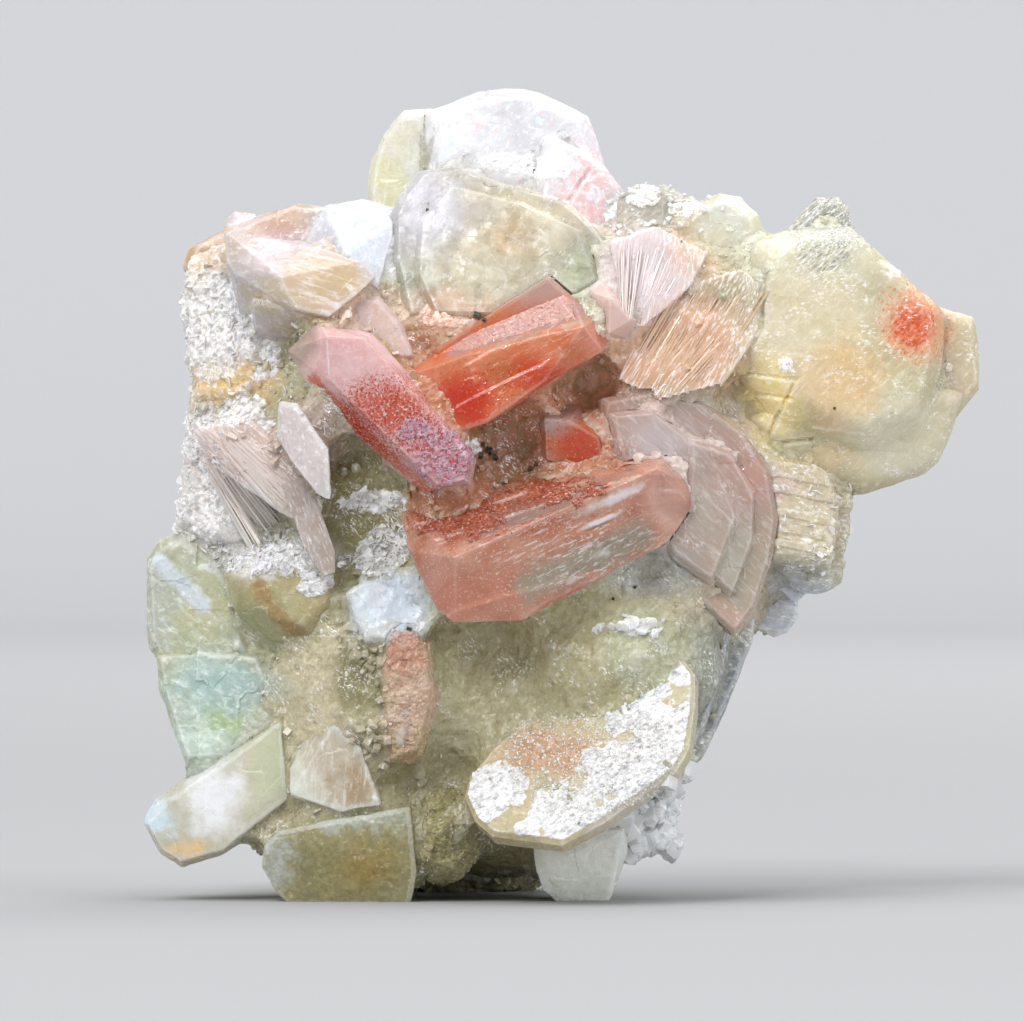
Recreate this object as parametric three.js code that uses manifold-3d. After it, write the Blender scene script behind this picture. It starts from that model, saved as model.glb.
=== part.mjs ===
// A hand-sized cluster of intergrown crystal plates and blades, in millimetres, +Z up, about
// 83 wide and 81 tall. The front faces -Y, and x = 0 is the middle of its width. Every crystal
// is a few convex pieces joined in one solid. Crystals that grew first keep their shape; later
// ones, and last of all the intergrown mass, grow around them.

import * as THREE from 'three';
import { ConvexGeometry } from 'three/addons/geometries/ConvexGeometry.js';
import { mergeVertices } from 'three/addons/utils/BufferGeometryUtils.js';
import Module from 'manifold-3d';

const wasm = await Module();
wasm.setup();

// ---- driving dimensions ----

const SEAT_GAP = 0.3; // between a crystal and what has grown around it
const BEVEL = 1.0; // width of the small facets round a plate, unless a plate states its own
const CORNER_REACH = 1.6; // how far a plate's corner moves out for 1 mm at its edges
const LUMP_CORNERS = 24; // corners of a rounded lump
const PRISM_SHOULDER = 0.78; // part of a small prism's length that is full width
const PRISM_TIP = 0.35; // width of its blunt end, of the full width
const PRISM_FLATNESS = 0.7; // its thickness, of its width
const PLATE_KEEP = 0.3; // least width of a plate's end face, of its full width
const LUMP_WAVE = 7.3; // how fast a lump's bumps change with its seed, so no two lumps match
const CUTTER_SIZE = 200; // wider than the cluster

// ---- solids ----

// A closed three.js geometry becomes a manifold-3d solid.
function toSolid(geometry) {
  geometry.deleteAttribute('normal');
  geometry.deleteAttribute('uv');
  const merged = mergeVertices(geometry, 1e-4);
  const vertProperties = new Float32Array(merged.attributes.position.array);
  const triVerts = new Uint32Array(merged.index.array);
  return new wasm.Manifold(new wasm.Mesh({ numProp: 3, vertProperties, triVerts }));
}

function toGeometry(solid) {
  const mesh = solid.getMesh();
  const geometry = new THREE.BufferGeometry();
  geometry.setAttribute('position', new THREE.BufferAttribute(mesh.vertProperties, 3));
  geometry.setIndex(new THREE.BufferAttribute(mesh.triVerts, 1));
  return geometry;
}

function hull(points) {
  return toSolid(new ConvexGeometry(points));
}

function joined(solids) {
  return solids.reduce((whole, solid) => whole.add(solid));
}

function largestBody(solid) {
  const bodies = solid.decompose();
  return bodies.reduce((best, body) => (body.volume() > best.volume() ? body : best));
}

// ---- shapes that crystals are made of ----
// Each gives a function: the points of one convex piece, grown by an extra thickness all over.

// A facetted block given by its corners, [x, y, z] each. To grow, every corner spreads to the
// corners of a small cube.
function block(...corners) {
  return (extra) => {
    const shifts = extra > 0 ? [-extra, extra] : [0];
    const points = [];
    for (const [x, y, z] of corners) {
      for (const dx of shifts) {
        for (const dy of shifts) {
          for (const dz of shifts) points.push(new THREE.Vector3(x + dx, y + dy, z + dz));
        }
      }
    }
    return points;
  };
}

// A plate whose front face has the outline [x, z] as seen from the front. The face stands at
// depth y in its middle and leans: leanX and leanZ are how much deeper it gets for each
// millimetre to the right and up. Bevel facets run round both faces.
function plate({ outline, y, leanX = 0, leanZ = 0, thick, bevel = BEVEL }) {
  const count = outline.length;
  const midX = outline.reduce((sum, [x]) => sum + x, 0) / count;
  const midZ = outline.reduce((sum, [, z]) => sum + z, 0) / count;
  const inward = new THREE.Vector3(-leanX, 1, -leanZ).normalize();
  return (extra) => {
    const depths = [-extra, bevel, thick - bevel, thick + extra];
    const insets = [bevel, 0, 0, bevel].map((inset) => inset - CORNER_REACH * extra);
    const points = [];
    depths.forEach((depth, ring) => {
      for (const [x, z] of outline) {
        const reach = Math.hypot(x - midX, z - midZ);
        const keep = Math.max(1 - insets[ring] / reach, PLATE_KEEP);
        const u = (x - midX) * keep;
        const v = (z - midZ) * keep;
        const onFace = new THREE.Vector3(midX + u, y + leanX * u + leanZ * v, midZ + v);
        points.push(onFace.addScaledVector(inward, depth));
      }
    });
    return points;
  };
}

// Several plates of one stack: each next plate lies deeper and steps in or out a little.
function stack(base, steps) {
  return steps.map(({ deeper, shift, scale }) => {
    const outline = base.outline.map(([x, z]) => [
      base.pivot[0] + (x - base.pivot[0]) * scale + shift[0],
      base.pivot[1] + (z - base.pivot[1]) * scale + shift[1],
    ]);
    return plate({ ...base, outline, y: base.y + deeper });
  });
}

// A rounded, facetted lump: points spread evenly over an ellipsoid and pushed in or out.
function lump([x, y, z], radii, seed, roughness = 0.1) {
  const goldenAngle = Math.PI * (3 - Math.sqrt(5));
  return (extra) => {
    const [rx, ry, rz] = radii.map((radius) => radius + extra);
    const points = [];
    for (let i = 0; i < LUMP_CORNERS; i += 1) {
      const up = 1 - (2 * (i + 0.5)) / LUMP_CORNERS;
      const out = Math.sqrt(1 - up * up);
      const turn = i * goldenAngle + seed;
      const push = 1 + roughness * Math.sin(seed * LUMP_WAVE + turn);
      const away = new THREE.Vector3(Math.cos(turn) * out * rx, Math.sin(turn) * out * ry, up * rz);
      points.push(new THREE.Vector3(x, y, z).addScaledVector(away, push));
    }
    return points;
  };
}

// A flattened six-sided prism with a blunt point, from a root along an axis.
function prism(root, axis, length, radius, turn = 0) {
  const along = new THREE.Vector3(...axis).normalize();
  const side = new THREE.Vector3(0, 0, 1).cross(along).normalize();
  const over = along.clone().cross(side);
  const start = new THREE.Vector3(...root);
  return (extra) => {
    const rings = [[-extra, 1], [PRISM_SHOULDER * length, 1], [length + extra, PRISM_TIP]];
    const points = [];
    for (const [step, size] of rings) {
      for (let i = 0; i < 6; i += 1) {
        const angle = turn + (i * Math.PI) / 3;
        const out = radius * size + CORNER_REACH * extra;
        const p = start.clone().addScaledVector(along, step);
        p.addScaledVector(side, Math.cos(angle) * out);
        p.addScaledVector(over, Math.sin(angle) * out * PRISM_FLATNESS);
        points.push(p);
      }
    }
    return points;
  };
}

// ---- materials ----

function mineral(color, roughness) {
  return new THREE.MeshStandardMaterial({ color, roughness, metalness: 0 });
}

const milkyWhite = () => mineral(0xe6e4e4, 0.35);
const paleClear = () => mineral(0xd6d3bd, 0.2);
const palePink = () => mineral(0xe3bdb0, 0.25);
const redPhantom = () => mineral(0xd9694c, 0.3);
const orangeCrust = () => mineral(0xd99a6e, 0.6);
const paleGreen = () => mineral(0xc3c9a4, 0.4);
const amber = () => mineral(0xdcc487, 0.35);
const cream = () => mineral(0xe4dcc0, 0.4);
const fibrous = () => mineral(0xe2cfc6, 0.5);
const granular = () => mineral(0xb5ad84, 0.7);

// ---- the cluster ----

const cluster = new THREE.Group();
const grown = []; // every crystal so far: its convex pieces and the box round them

function boxOf(pieces) {
  return new THREE.Box3().setFromPoints(pieces.flatMap((piece) => piece(0)));
}

// Cuts a seat for every earlier crystal that comes near.
function seated(solid, box) {
  let cut = solid;
  for (const crystal of grown) {
    if (!crystal.box.clone().expandByScalar(2 * SEAT_GAP).intersectsBox(box)) continue;
    for (const piece of crystal.pieces) {
      cut = cut.subtract(hull(piece(SEAT_GAP)));
    }
  }
  return cut;
}

function show(name, solid, material) {
  const mesh = new THREE.Mesh(toGeometry(solid), material);
  mesh.name = name;
  cluster.add(mesh);
}

// What lies below the resting plane is left out, so every foot ends flat.
function standing(solid) {
  const below = new THREE.BoxGeometry(CUTTER_SIZE, CUTTER_SIZE, CUTTER_SIZE);
  below.translate(0, 0, -CUTTER_SIZE / 2);
  return solid.subtract(toSolid(below));
}

// Adds one crystal, or one stack of crystals, as a node.
function grow(name, material, ...pieces) {
  const box = boxOf(pieces);
  const whole = joined(pieces.map((piece) => hull(piece(0))));
  const solid = seated(standing(whole), box);
  show(name, largestBody(solid), material);
  grown.push({ pieces, box });
}

// ---- centre: the blades with red in them, which stand in front of the rest ----

grow('lower_red_blade', redPhantom(), block(
  [-10.7, -22.0, 34.0], [9.0, -19.5, 42.6], // ridge along the front
  [-15.8, -14.0, 38.3], [6.4, -12.0, 44.6], [10.1, -13.0, 44.3], // top edge
  [-15.2, -17.0, 34.8], [-12.4, -18.5, 28.9], [-10.7, -20.0, 27.9], // left end
  [-4.3, -20.0, 28.1], [-2.0, -20.0, 29.7], [10.1, -17.0, 35.6], // bottom edge
  [12.4, -16.0, 39.0], [12.1, -15.5, 41.0], // right end
  [-14.0, -9.0, 36.0], [9.0, -7.0, 43.0], [10.0, -9.0, 37.0], [-3.0, -11.0, 30.0], [-11.0, -11.0, 29.5],
));

grow('left_red_blade', redPhantom(), block(
  [-23.3, -18.6, 55.6], [-19.7, -18.6, 55.4], [-11.6, -19.6, 46.6], // front face
  [-9.7, -19.4, 44.0], [-9.9, -19.2, 41.8], [-12.4, -19.2, 41.3], [-23.0, -18.2, 51.6],
  [-27.0, -14.4, 54.4], [-24.2, -14.8, 57.0], [-19.1, -14.6, 56.0], // girdle
  [-10.8, -16.0, 46.9], [-8.9, -16.0, 43.8], [-9.2, -15.6, 41.0], [-13.6, -15.6, 40.4],
  [-21.6, -14.6, 47.2], [-25.0, -14.2, 50.9],
  [-24.5, -10.4, 54.0], [-18.0, -10.4, 53.5], [-10.5, -11.5, 44.0], [-14.0, -11.0, 42.0],
  [-22.5, -10.2, 50.0],
));

grow('upper_red_blade', redPhantom(), block(
  [-9.6, -16.6, 53.8], [1.8, -17.2, 56.6], // ridge along the front
  [-12.7, -12.4, 54.2], [0.7, -12.4, 59.8], // top edge
  [-11.0, -17.4, 46.3], [-7.6, -18.2, 47.4], [-2.0, -17.6, 51.4], [3.6, -15.4, 54.4], // bottom edge
  [3.4, -13.2, 57.8], [4.3, -13.6, 55.7], [-16.3, -13.4, 51.6], // ends
  [-11.0, -8.0, 48.0], [-14.0, -8.5, 52.0], [0.0, -8.0, 58.0], [3.0, -9.0, 55.0], [-3.0, -9.0, 52.0],
), plate({
  outline: [[-12.9, 54.4], [-1.5, 61.7], [-0.4, 60.2], [1.2, 59.4], [-2.0, 54.0], [-11.4, 52.4]],
  y: -13.2, leanX: -0.05, leanZ: 0.15, thick: 1.8, bevel: 0.4,
}));

grow('small_pink_crystal', palePink(), block(
  [4.6, -15.4, 59.4], [6.4, -14.6, 57.4], [4.4, -15.0, 56.2],
  [2.7, -12.6, 60.2], [3.9, -12.6, 60.8], [6.6, -12.0, 59.2], [7.8, -11.4, 57.4],
  [6.8, -11.8, 55.6], [4.8, -12.4, 55.2], [3.2, -7.0, 59.0], [7.0, -7.0, 57.5], [5.0, -7.0, 55.0],
));

grow('orange_crystal', redPhantom(), block(
  [-1.8, -15.0, 47.6], [0.4, -15.4, 47.4], [3.2, -15.2, 45.8], [3.6, -15.0, 44.2],
  [1.0, -14.8, 43.0], [-1.6, -14.4, 43.8],
  [-3.2, -10.0, 46.0], [-1.8, -10.5, 49.2], [1.6, -10.5, 49.0], [5.8, -10.0, 46.4],
  [6.4, -10.0, 44.0], [2.4, -9.5, 42.0], [-1.0, -9.0, 42.4],
));

// ---- lower right: frosted hexagonal plate, and what stands behind and below it ----

grow('hexagonal_plate', cream(), plate({
  outline: [[-9.8, 10.7], [-9.3, 12.7], [-7.3, 15.2], [-0.4, 20.9], [7.6, 24.6], [11.2, 24.6],
    [12.7, 22.7],
    [12.6, 19.5], [12.0, 15.5], [10.8, 13.4], [7.6, 11.2], [3.6, 8.3], [-0.4, 6.2], [-3.4, 6.6],
    [-7.2, 7.0],
    [-8.8, 8.4]],
  y: -18.6, leanX: -0.3, leanZ: 0.62, thick: 2.3, bevel: 0.45,
}));

grow('bottom_wedge', cream(), block(
  [-3.1, -11.0, 6.6], [5.6, -11.5, 6.8], [-2.6, -12.0, 3.2], [-1.9, -11.5, 1.2], [0.4, -10.5, -0.6],
  [4.0, -10.0, -0.6], [4.8, -9.5, 1.8], [6.0, -9.0, 4.7],
  [-2.8, -2.0, 8.0], [6.5, -2.0, 8.0], [-1.5, -2.5, 1.0], [0.5, -3.0, -0.6], [4.0, -3.0, -0.6],
  [6.0, -2.5, 4.0],
));

grow('clear_druse', milkyWhite(),
  prism([4.4, -2.0, 9.0], [0.5, -0.5, -0.62], 6.4, 1.9, 0.2),
  prism([5.5, -1.0, 9.5], [0.72, -0.25, -0.66], 7.0, 2.1, 0.5),
  prism([6.0, 0.5, 11.5], [0.95, 0.0, -0.45], 5.6, 2.0, 0.1),
  prism([5.0, -3.5, 11.0], [0.7, -0.7, -0.35], 6.2, 1.7, 0.9),
  lump([6.2, 0.0, 9.4], [4.8, 4.0, 4.6], 2.1));

grow('edge_plates', paleGreen(), plate({
  outline: [[17.0, 34.0], [19.4, 30.0], [18.7, 25.7], [17.0, 22.2], [16.1, 19.2], [14.5, 17.2],
    [13.7, 14.2],
    [10.9, 11.2], [7.6, 12.7], [8.0, 20.0], [11.0, 30.0]],
  y: -7.0, leanX: 0.35, leanZ: 0.12, thick: 2.6, bevel: 0.5,
}), plate({
  outline: [[15.2, 33.0], [16.6, 28.5], [16.2, 24.0], [14.4, 20.6], [14.0, 17.4], [11.4, 13.0],
    [9.0, 14.0],
    [9.0, 28.0]],
  y: -9.2, leanX: 0.3, leanZ: 0.14, thick: 3.2, bevel: 0.6,
}));

// ---- centre right: the fan of clear plates and the fibrous sheaves ----

grow('clear_fan', palePink(), plate({
  outline: [[3.9, 49.6], [8.2, 50.5], [13.7, 49.5], [17.7, 46.7], [20.3, 42.7], [21.2, 37.7],
    [20.4, 33.4],
    [18.7, 28.7], [16.9, 26.5], [13.7, 29.7], [7.7, 34.7], [3.7, 42.7]],
  y: -12.6, leanX: 0.22, leanZ: 0.1, thick: 2.4, bevel: 0.6,
}), plate({
  outline: [[4.6, 48.2], [8.5, 48.6], [11.8, 46.4], [15.6, 42.8], [17.2, 37.6], [14.6, 31.6],
    [11.0, 34.0],
    [6.0, 41.0]],
  y: -15.0, leanX: 0.25, leanZ: 0.16, thick: 2.4, bevel: 0.6,
}), plate({
  outline: [[12.6, 45.6], [16.4, 44.6], [19.0, 40.6], [18.8, 35.4], [16.6, 30.2], [13.4, 33.0],
    [12.0, 40.0]],
  y: -13.8, leanX: 0.42, leanZ: 0.05, thick: 2.2, bevel: 0.6,
}));

grow('fan_sheaf', fibrous(), block(
  [4.6, -11.6, 65.2], [9.2, -11.0, 66.8], [14.2, -9.4, 64.4], [12.6, -11.0, 61.0], [7.6, -13.2, 56.6],
  [5.8, -12.8, 58.6], [5.0, -4.0, 66.0], [14.0, -3.0, 64.0], [8.0, -5.0, 56.0],
));

grow('long_sheaf', fibrous(), block(
  [10.6, -10.6, 60.4], [17.8, -9.6, 62.6], [21.0, -8.0, 59.6], [18.6, -10.6, 55.6], [15.4, -12.4, 51.0],
  [9.2, -13.2, 49.4], [5.4, -12.4, 51.4], [6.6, -12.2, 54.8],
  [10.0, -3.0, 61.0], [19.5, -2.0, 60.0], [15.0, -3.0, 51.0], [7.0, -4.0, 52.0],
));

// ---- right: the lobe of amber plates, its tips and its fringe ----

grow('ribbed_tip', cream(), plate({
  outline: [[22.4, 66.2], [23.6, 67.8], [25.6, 69.9], [27.6, 69.9], [28.4, 69.2], [29.2, 66.0],
    [28.4, 62.8],
    [24.4, 60.6], [21.6, 63.2]],
  y: -2.4, leanX: 0.15, leanZ: 0.2, thick: 4.6, bevel: 0.9,
}));

grow('right_tip', cream(), plate({
  outline: [[37.6, 58.8], [39.2, 57.8], [41.0, 57.8], [41.7, 54.4], [41.7, 51.0], [40.6, 49.8],
    [38.8, 47.6],
    [35.0, 49.0], [34.4, 55.0]],
  y: -2.6, leanX: 0.2, leanZ: 0.0, thick: 4.4, bevel: 0.9,
}));

grow('amber_lobe', amber(), plate({
  outline: [[19.8, 65.4], [22.6, 66.6], [26.0, 66.6], [29.0, 67.0], [30.2, 65.8], [33.4, 62.2],
    [36.2, 60.2],
    [38.6, 58.4], [38.0, 52.0], [36.0, 47.0], [30.0, 45.0], [22.0, 48.0], [16.4, 54.0]],
  y: -7.6, leanX: 0.24, leanZ: 0.1, thick: 7.0, bevel: 2.2,
}), plate({
  outline: [[18.2, 47.6], [24.0, 50.0], [34.0, 52.0], [40.2, 50.2], [38.9, 46.4], [37.6, 43.4],
    [36.0, 42.2],
    [33.0, 41.3], [29.8, 40.2], [22.0, 43.0]],
  y: -5.4, leanX: 0.22, leanZ: -0.12, thick: 6.0, bevel: 1.2,
}), plate({
  outline: [[20.0, 65.0], [27.5, 66.6], [32.0, 63.6], [38.2, 58.2], [39.8, 52.4], [38.4, 46.0],
    [35.4, 42.4],
    [30.0, 41.4], [24.0, 42.6], [19.0, 46.0]],
  y: -1.6, leanX: 0.05, leanZ: -0.05, thick: 8.4, bevel: 2.4,
}));

grow('crest_plates', amber(), plate({
  outline: [[13.6, 69.3], [15.8, 70.2], [17.6, 69.8], [19.3, 68.2], [20.0, 66.0], [19.4, 58.0],
    [13.0, 55.0],
    [10.0, 60.0], [10.8, 67.6]],
  y: -5.6, leanX: 0.1, leanZ: 0.12, thick: 5.0, bevel: 1.1,
}), plate({
  outline: [[5.4, 69.6], [7.6, 71.2], [9.8, 71.2], [11.0, 69.4], [14.0, 69.0], [12.0, 60.0], [5.0, 60.0]],
  y: -4.4, leanX: -0.1, leanZ: 0.2, thick: 4.6, bevel: 1.0,
}));

grow('right_lower_plates', paleGreen(), plate({
  outline: [[19.4, 45.6], [24.0, 44.4], [29.2, 42.2], [28.2, 38.0], [27.9, 34.7], [27.8, 31.6],
    [26.2, 30.8],
    [24.2, 31.0], [20.6, 33.6]],
  y: -6.2, leanX: 0.3, leanZ: 0.05, thick: 4.6, bevel: 1.0,
}), plate({
  outline: [[18.8, 45.0], [26.0, 43.0], [27.6, 39.6], [26.6, 33.0], [21.0, 34.0]],
  y: -9.0, leanX: 0.4, leanZ: 0.2, thick: 3.6, bevel: 0.8,
}));

grow('fringe_blades', milkyWhite(), block(
  [18.6, -3.4, 34.4], [23.4, -3.0, 35.6], [23.2, -2.4, 28.0], [22.2, -2.0, 26.6], [21.0, -2.0, 26.2],
  [19.6, -2.4, 27.0], [17.8, -3.0, 30.0], [18.6, 0.6, 34.0], [23.0, 0.6, 34.4], [21.6, 0.4, 26.8],
  [18.6, 0.2, 29.4],
), block(
  [21.4, -4.6, 36.4], [25.8, -4.0, 36.0], [26.4, -3.4, 31.6], [24.8, -3.2, 30.8], [23.0, -3.6, 29.8],
  [21.6, -4.2, 31.0], [21.6, -1.4, 36.0], [25.8, -1.0, 35.4], [24.6, -1.0, 31.0], [22.0, -1.2, 30.6],
));

// ---- top: dome plate with its side lamella, the clear plate and the white blade ----

grow('clear_upper_plate', paleClear(), plate({
  outline: [[-17.2, 63.5], [-17.2, 68.2], [-16.3, 70.2], [-14.5, 72.5], [-11.3, 73.1], [-8.3, 71.9],
    [-3.3, 70.2], [0.7, 69.2], [2.7, 67.2], [4.9, 64.7], [5.5, 60.7], [1.0, 57.6], [-15.6, 57.6]],
  y: -8.6, leanX: -0.04, leanZ: 0.34, thick: 3.4, bevel: 0.9,
}), plate({
  outline: [[-14.8, 62.0], [-14.4, 67.6], [-11.4, 71.2], [-4.2, 69.4], [1.8, 66.4], [3.6, 61.4],
    [-2.0, 57.6],
    [-13.0, 58.0]],
  y: -10.4, leanX: -0.06, leanZ: 0.36, thick: 2.4, bevel: 0.6,
}));

grow('dome_plate', milkyWhite(), plate({
  outline: [[-13.4, 78.6], [-11.2, 79.5], [-8.4, 80.6], [-4.9, 81.2], [-2.4, 80.7], [2.5, 78.3],
    [3.4, 75.7],
    [4.4, 72.0], [5.6, 68.0], [3.0, 58.0], [-13.6, 58.0]],
  y: -0.4, leanX: 0.1, leanZ: 0.16, thick: 5.4, bevel: 1.5,
}), plate({
  outline: [[-1.4, 76.4], [1.6, 75.0], [4.4, 73.0], [6.2, 70.6], [6.4, 66.0], [2.0, 62.0], [-3.0, 66.0]],
  y: -2.4, leanX: 0.3, leanZ: 0.3, thick: 4.0, bevel: 0.9,
}));

grow('dome_side_lamella', amber(), plate({
  outline: [[-19.6, 70.2], [-19.6, 71.7], [-19.3, 73.7], [-17.9, 76.6], [-16.1, 78.7], [-12.0, 79.0],
    [-11.4, 62.0], [-18.6, 62.0]],
  y: 2.2, leanX: -0.25, leanZ: 0.1, thick: 3.6, bevel: 0.8,
}));

grow('white_blade', milkyWhite(), block(
  [-23.2, -8.2, 67.6], [-20.0, -7.0, 68.6], [-17.0, -7.6, 67.0], [-18.6, -10.4, 60.8],
  [-21.4, -10.6, 63.8],
  [-25.4, -6.0, 65.4], [-23.6, -5.0, 68.8], [-20.1, -4.0, 69.5], [-16.6, -4.6, 68.4], [-17.6, -6.0, 59.6],
  [-24.0, -1.0, 66.0], [-17.0, -1.0, 67.0], [-20.0, -2.0, 61.0],
));

// ---- upper left: the blade with the six-sided end, the corner and the flank ----

grow('upper_left_blade', cream(), block(
  [-33.5, -8.4, 66.1], [-25.8, -9.6, 65.0], [-24.2, -10.6, 64.4], // top facet, far edge
  [-33.2, -10.4, 63.4], [-32.4, -11.4, 62.1], [-27.9, -14.4, 61.5], // top facet, near edge
  [-20.3, -11.0, 63.1], [-18.8, -11.2, 61.8], [-20.4, -13.0, 60.3], // end facet, right side
  [-23.3, -15.0, 57.9], [-26.3, -15.4, 58.6], [-27.2, -15.0, 59.9], // end facet, left side
  [-32.0, -8.0, 58.4], [-30.0, -4.0, 64.0], [-20.5, -5.0, 60.5], [-24.0, -6.0, 56.5], [-31.0, -4.0, 60.0],
), block(
  [-30.6, -12.6, 59.4], [-26.4, -14.6, 58.4], [-22.4, -13.6, 56.6], [-18.9, -11.6, 56.0],
  [-30.4, -8.0, 55.8], [-20.6, -8.0, 53.8], [-29.0, -5.0, 59.0], [-20.0, -5.0, 57.0],
));

grow('mauve_plate', palePink(), plate({
  outline: [[-22.8, 57.8], [-21.4, 60.0], [-18.4, 59.8], [-16.0, 57.2], [-14.6, 53.6], [-17.6, 53.4],
    [-21.4, 55.4]],
  y: -12.0, leanX: 0.1, leanZ: 0.3, thick: 4.0, bevel: 0.7,
}));

grow('corner_plate', palePink(), plate({
  outline: [[-37.8, 63.2], [-37.2, 65.0], [-34.8, 66.2], [-31.4, 67.8], [-26.4, 69.3], [-23.7, 68.8],
    [-25.0, 63.0], [-31.0, 60.0], [-36.0, 61.0]],
  y: -3.8, leanX: -0.05, leanZ: 0.25, thick: 3.8, bevel: 0.9,
}), lump([-32.1, 0.2, 66.6], [1.8, 2.0, 1.9], 1.3, 0.08));

grow('flank_plates', cream(), plate({
  outline: [[-38.2, 61.4], [-37.6, 64.6], [-34.0, 65.4], [-29.0, 62.0], [-28.6, 55.0], [-31.0, 49.0],
    [-36.8, 48.6], [-37.4, 53.0], [-38.3, 57.5]],
  y: -6.6, leanX: -0.3, leanZ: 0.1, thick: 7.0, bevel: 1.6,
}), plate({
  outline: [[-37.4, 52.0], [-36.8, 46.0], [-37.8, 42.6], [-37.9, 38.8], [-39.2, 36.4], [-32.0, 34.0],
    [-27.0, 38.0], [-27.0, 50.0]],
  y: -6.4, leanX: -0.35, leanZ: -0.05, thick: 7.4, bevel: 1.6,
}));

grow('orange_crust', orangeCrust(), lump([-10.8, -9.4, 57.6], [5.0, 3.6, 2.7], 0.7, 0.12));

// ---- lower left: blades, green plates, lens, flakes and column ----

grow('spear_blade', milkyWhite(), block(
  [-27.8, -16.6, 49.2], [-26.4, -17.0, 49.0], [-23.4, -17.4, 44.6], [-23.2, -16.8, 40.0],
  [-24.0, -16.6, 40.4],
  [-26.6, -16.2, 43.6], [-28.0, -15.4, 46.0], [-27.0, -8.0, 47.0], [-24.0, -8.0, 43.0],
  [-26.6, -8.0, 44.0],
));

grow('striated_blades', fibrous(), block(
  [-36.6, -10.2, 47.0], [-31.0, -11.6, 47.6], [-24.6, -14.0, 42.2], [-23.8, -14.0, 38.4],
  [-26.8, -13.0, 37.8],
  [-35.4, -9.6, 43.4], [-35.0, -4.0, 46.0], [-27.0, -5.0, 45.0], [-25.0, -6.0, 39.0],
));

grow('sharp_blade', cream(), block(
  [-40.2, -8.4, 9.4], [-38.4, -9.6, 10.2], [-33.2, -10.4, 13.6], [-28.2, -10.6, 17.4],
  [-27.6, -11.0, 10.2],
  [-30.6, -11.2, 7.9], [-33.8, -10.6, 5.3], [-37.9, -9.4, 4.1], [-39.6, -8.8, 5.2], [-41.0, -8.4, 7.6],
  [-41.6, -6.6, 7.8], [-40.4, -6.6, 9.8], [-38.6, -6.0, 11.1], [-33.0, -5.4, 14.8], [-27.0, -4.0, 18.6],
  [-26.0, -5.0, 9.8], [-30.4, -6.0, 7.3], [-33.9, -6.4, 4.7], [-37.9, -6.6, 3.4], [-40.0, -6.8, 4.8],
  [-38.0, -3.4, 9.0], [-28.0, -1.0, 15.0], [-28.0, -2.0, 9.0], [-37.0, -3.6, 5.0],
));

grow('pale_wedge', paleGreen(), block(
  [-26.8, -12.4, 10.8], [-22.6, -13.4, 17.4], [-20.2, -14.0, 15.2], [-18.4, -13.8, 9.8],
  [-22.0, -13.6, 9.2],
  [-27.0, -8.0, 17.6], [-20.0, -8.0, 18.6], [-18.0, -7.0, 9.0], [-26.6, -6.0, 9.2],
));

grow('salmon_column', orangeCrust(), block(
  [-17.0, -16.6, 26.6], [-14.8, -17.2, 26.8], [-13.6, -16.8, 25.0], [-13.4, -16.8, 19.4],
  [-14.4, -16.2, 15.2],
  [-16.8, -15.8, 14.4], [-17.8, -16.0, 20.0],
  [-18.2, -13.6, 24.0], [-15.4, -14.4, 27.6], [-12.8, -13.8, 26.2], [-12.6, -13.6, 18.6],
  [-14.0, -12.8, 13.6],
  [-17.8, -12.6, 13.8], [-18.6, -12.8, 19.0], [-17.0, -8.0, 24.0], [-13.6, -8.0, 18.0],
  [-17.4, -7.0, 15.0],
));

grow('golden_lens', amber(), plate({
  outline: [[-33.8, 32.6], [-31.4, 34.8], [-26.4, 35.4], [-22.4, 32.4], [-21.8, 28.8], [-24.4, 25.8],
    [-29.4, 26.2], [-32.8, 29.0]],
  y: -12.6, leanX: -0.2, leanZ: 0.1, thick: 6.0, bevel: 2.2,
}));

grow('green_plates', paleGreen(), plate({
  outline: [[-41.7, 33.7], [-40.4, 35.6], [-38.0, 36.4], [-34.6, 34.4], [-31.6, 30.0], [-31.4, 24.4],
    [-36.4, 22.4], [-40.2, 23.0], [-41.4, 25.2], [-41.9, 29.6]],
  y: -5.0, leanX: -0.3, leanZ: 0.1, thick: 5.0, bevel: 1.1,
}), plate({
  outline: [[-40.6, 24.6], [-36.4, 25.2], [-30.0, 24.6], [-27.6, 20.0], [-28.0, 14.4], [-33.4, 13.6],
    [-37.6, 13.4], [-37.6, 15.4], [-39.2, 18.6], [-40.4, 21.0]],
  y: -7.6, leanX: -0.25, leanZ: 0.2, thick: 4.6, bevel: 1.0,
}));

grow('flake_patch', milkyWhite(), plate({
  outline: [[-21.4, 30.6], [-19.6, 31.8], [-14.0, 31.0], [-12.6, 28.4], [-14.8, 25.6], [-19.4, 26.0]],
  y: -15.4, leanX: 0.1, leanZ: 0.3, thick: 1.8, bevel: 0.4,
}), plate({
  outline: [[-20.6, 33.0], [-16.6, 33.4], [-13.2, 30.0], [-14.0, 27.0], [-19.0, 28.0]],
  y: -14.2, leanX: -0.2, leanZ: 0.5, thick: 2.4, bevel: 0.4,
}));

// ---- bottom: the yellow-green block that the cluster rests on, and a small dome beside it ----

grow('bottom_block', paleGreen(), block(
  [-28.2, -13.0, 6.8], [-15.4, -14.0, 9.2], [-29.4, -12.6, 5.4], [-29.6, -11.6, 3.4], [-28.2, -11.4, 1.0],
  [-26.6, -11.2, -0.6], [-15.6, -12.0, -0.6], [-14.8, -13.4, 3.0],
  [-28.0, 4.0, 8.0], [-15.0, 4.0, 9.8], [-29.0, 3.0, 4.0], [-26.6, 2.6, -0.6], [-15.6, 3.0, -0.6],
));

grow('grainy_dome', granular(), lump([-11.6, -10.4, 6.6], [3.6, 5.4, 5.2], 3.3, 0.06));

// ---- back and sides: plates like those in front, leaning out of the mass ----

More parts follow.
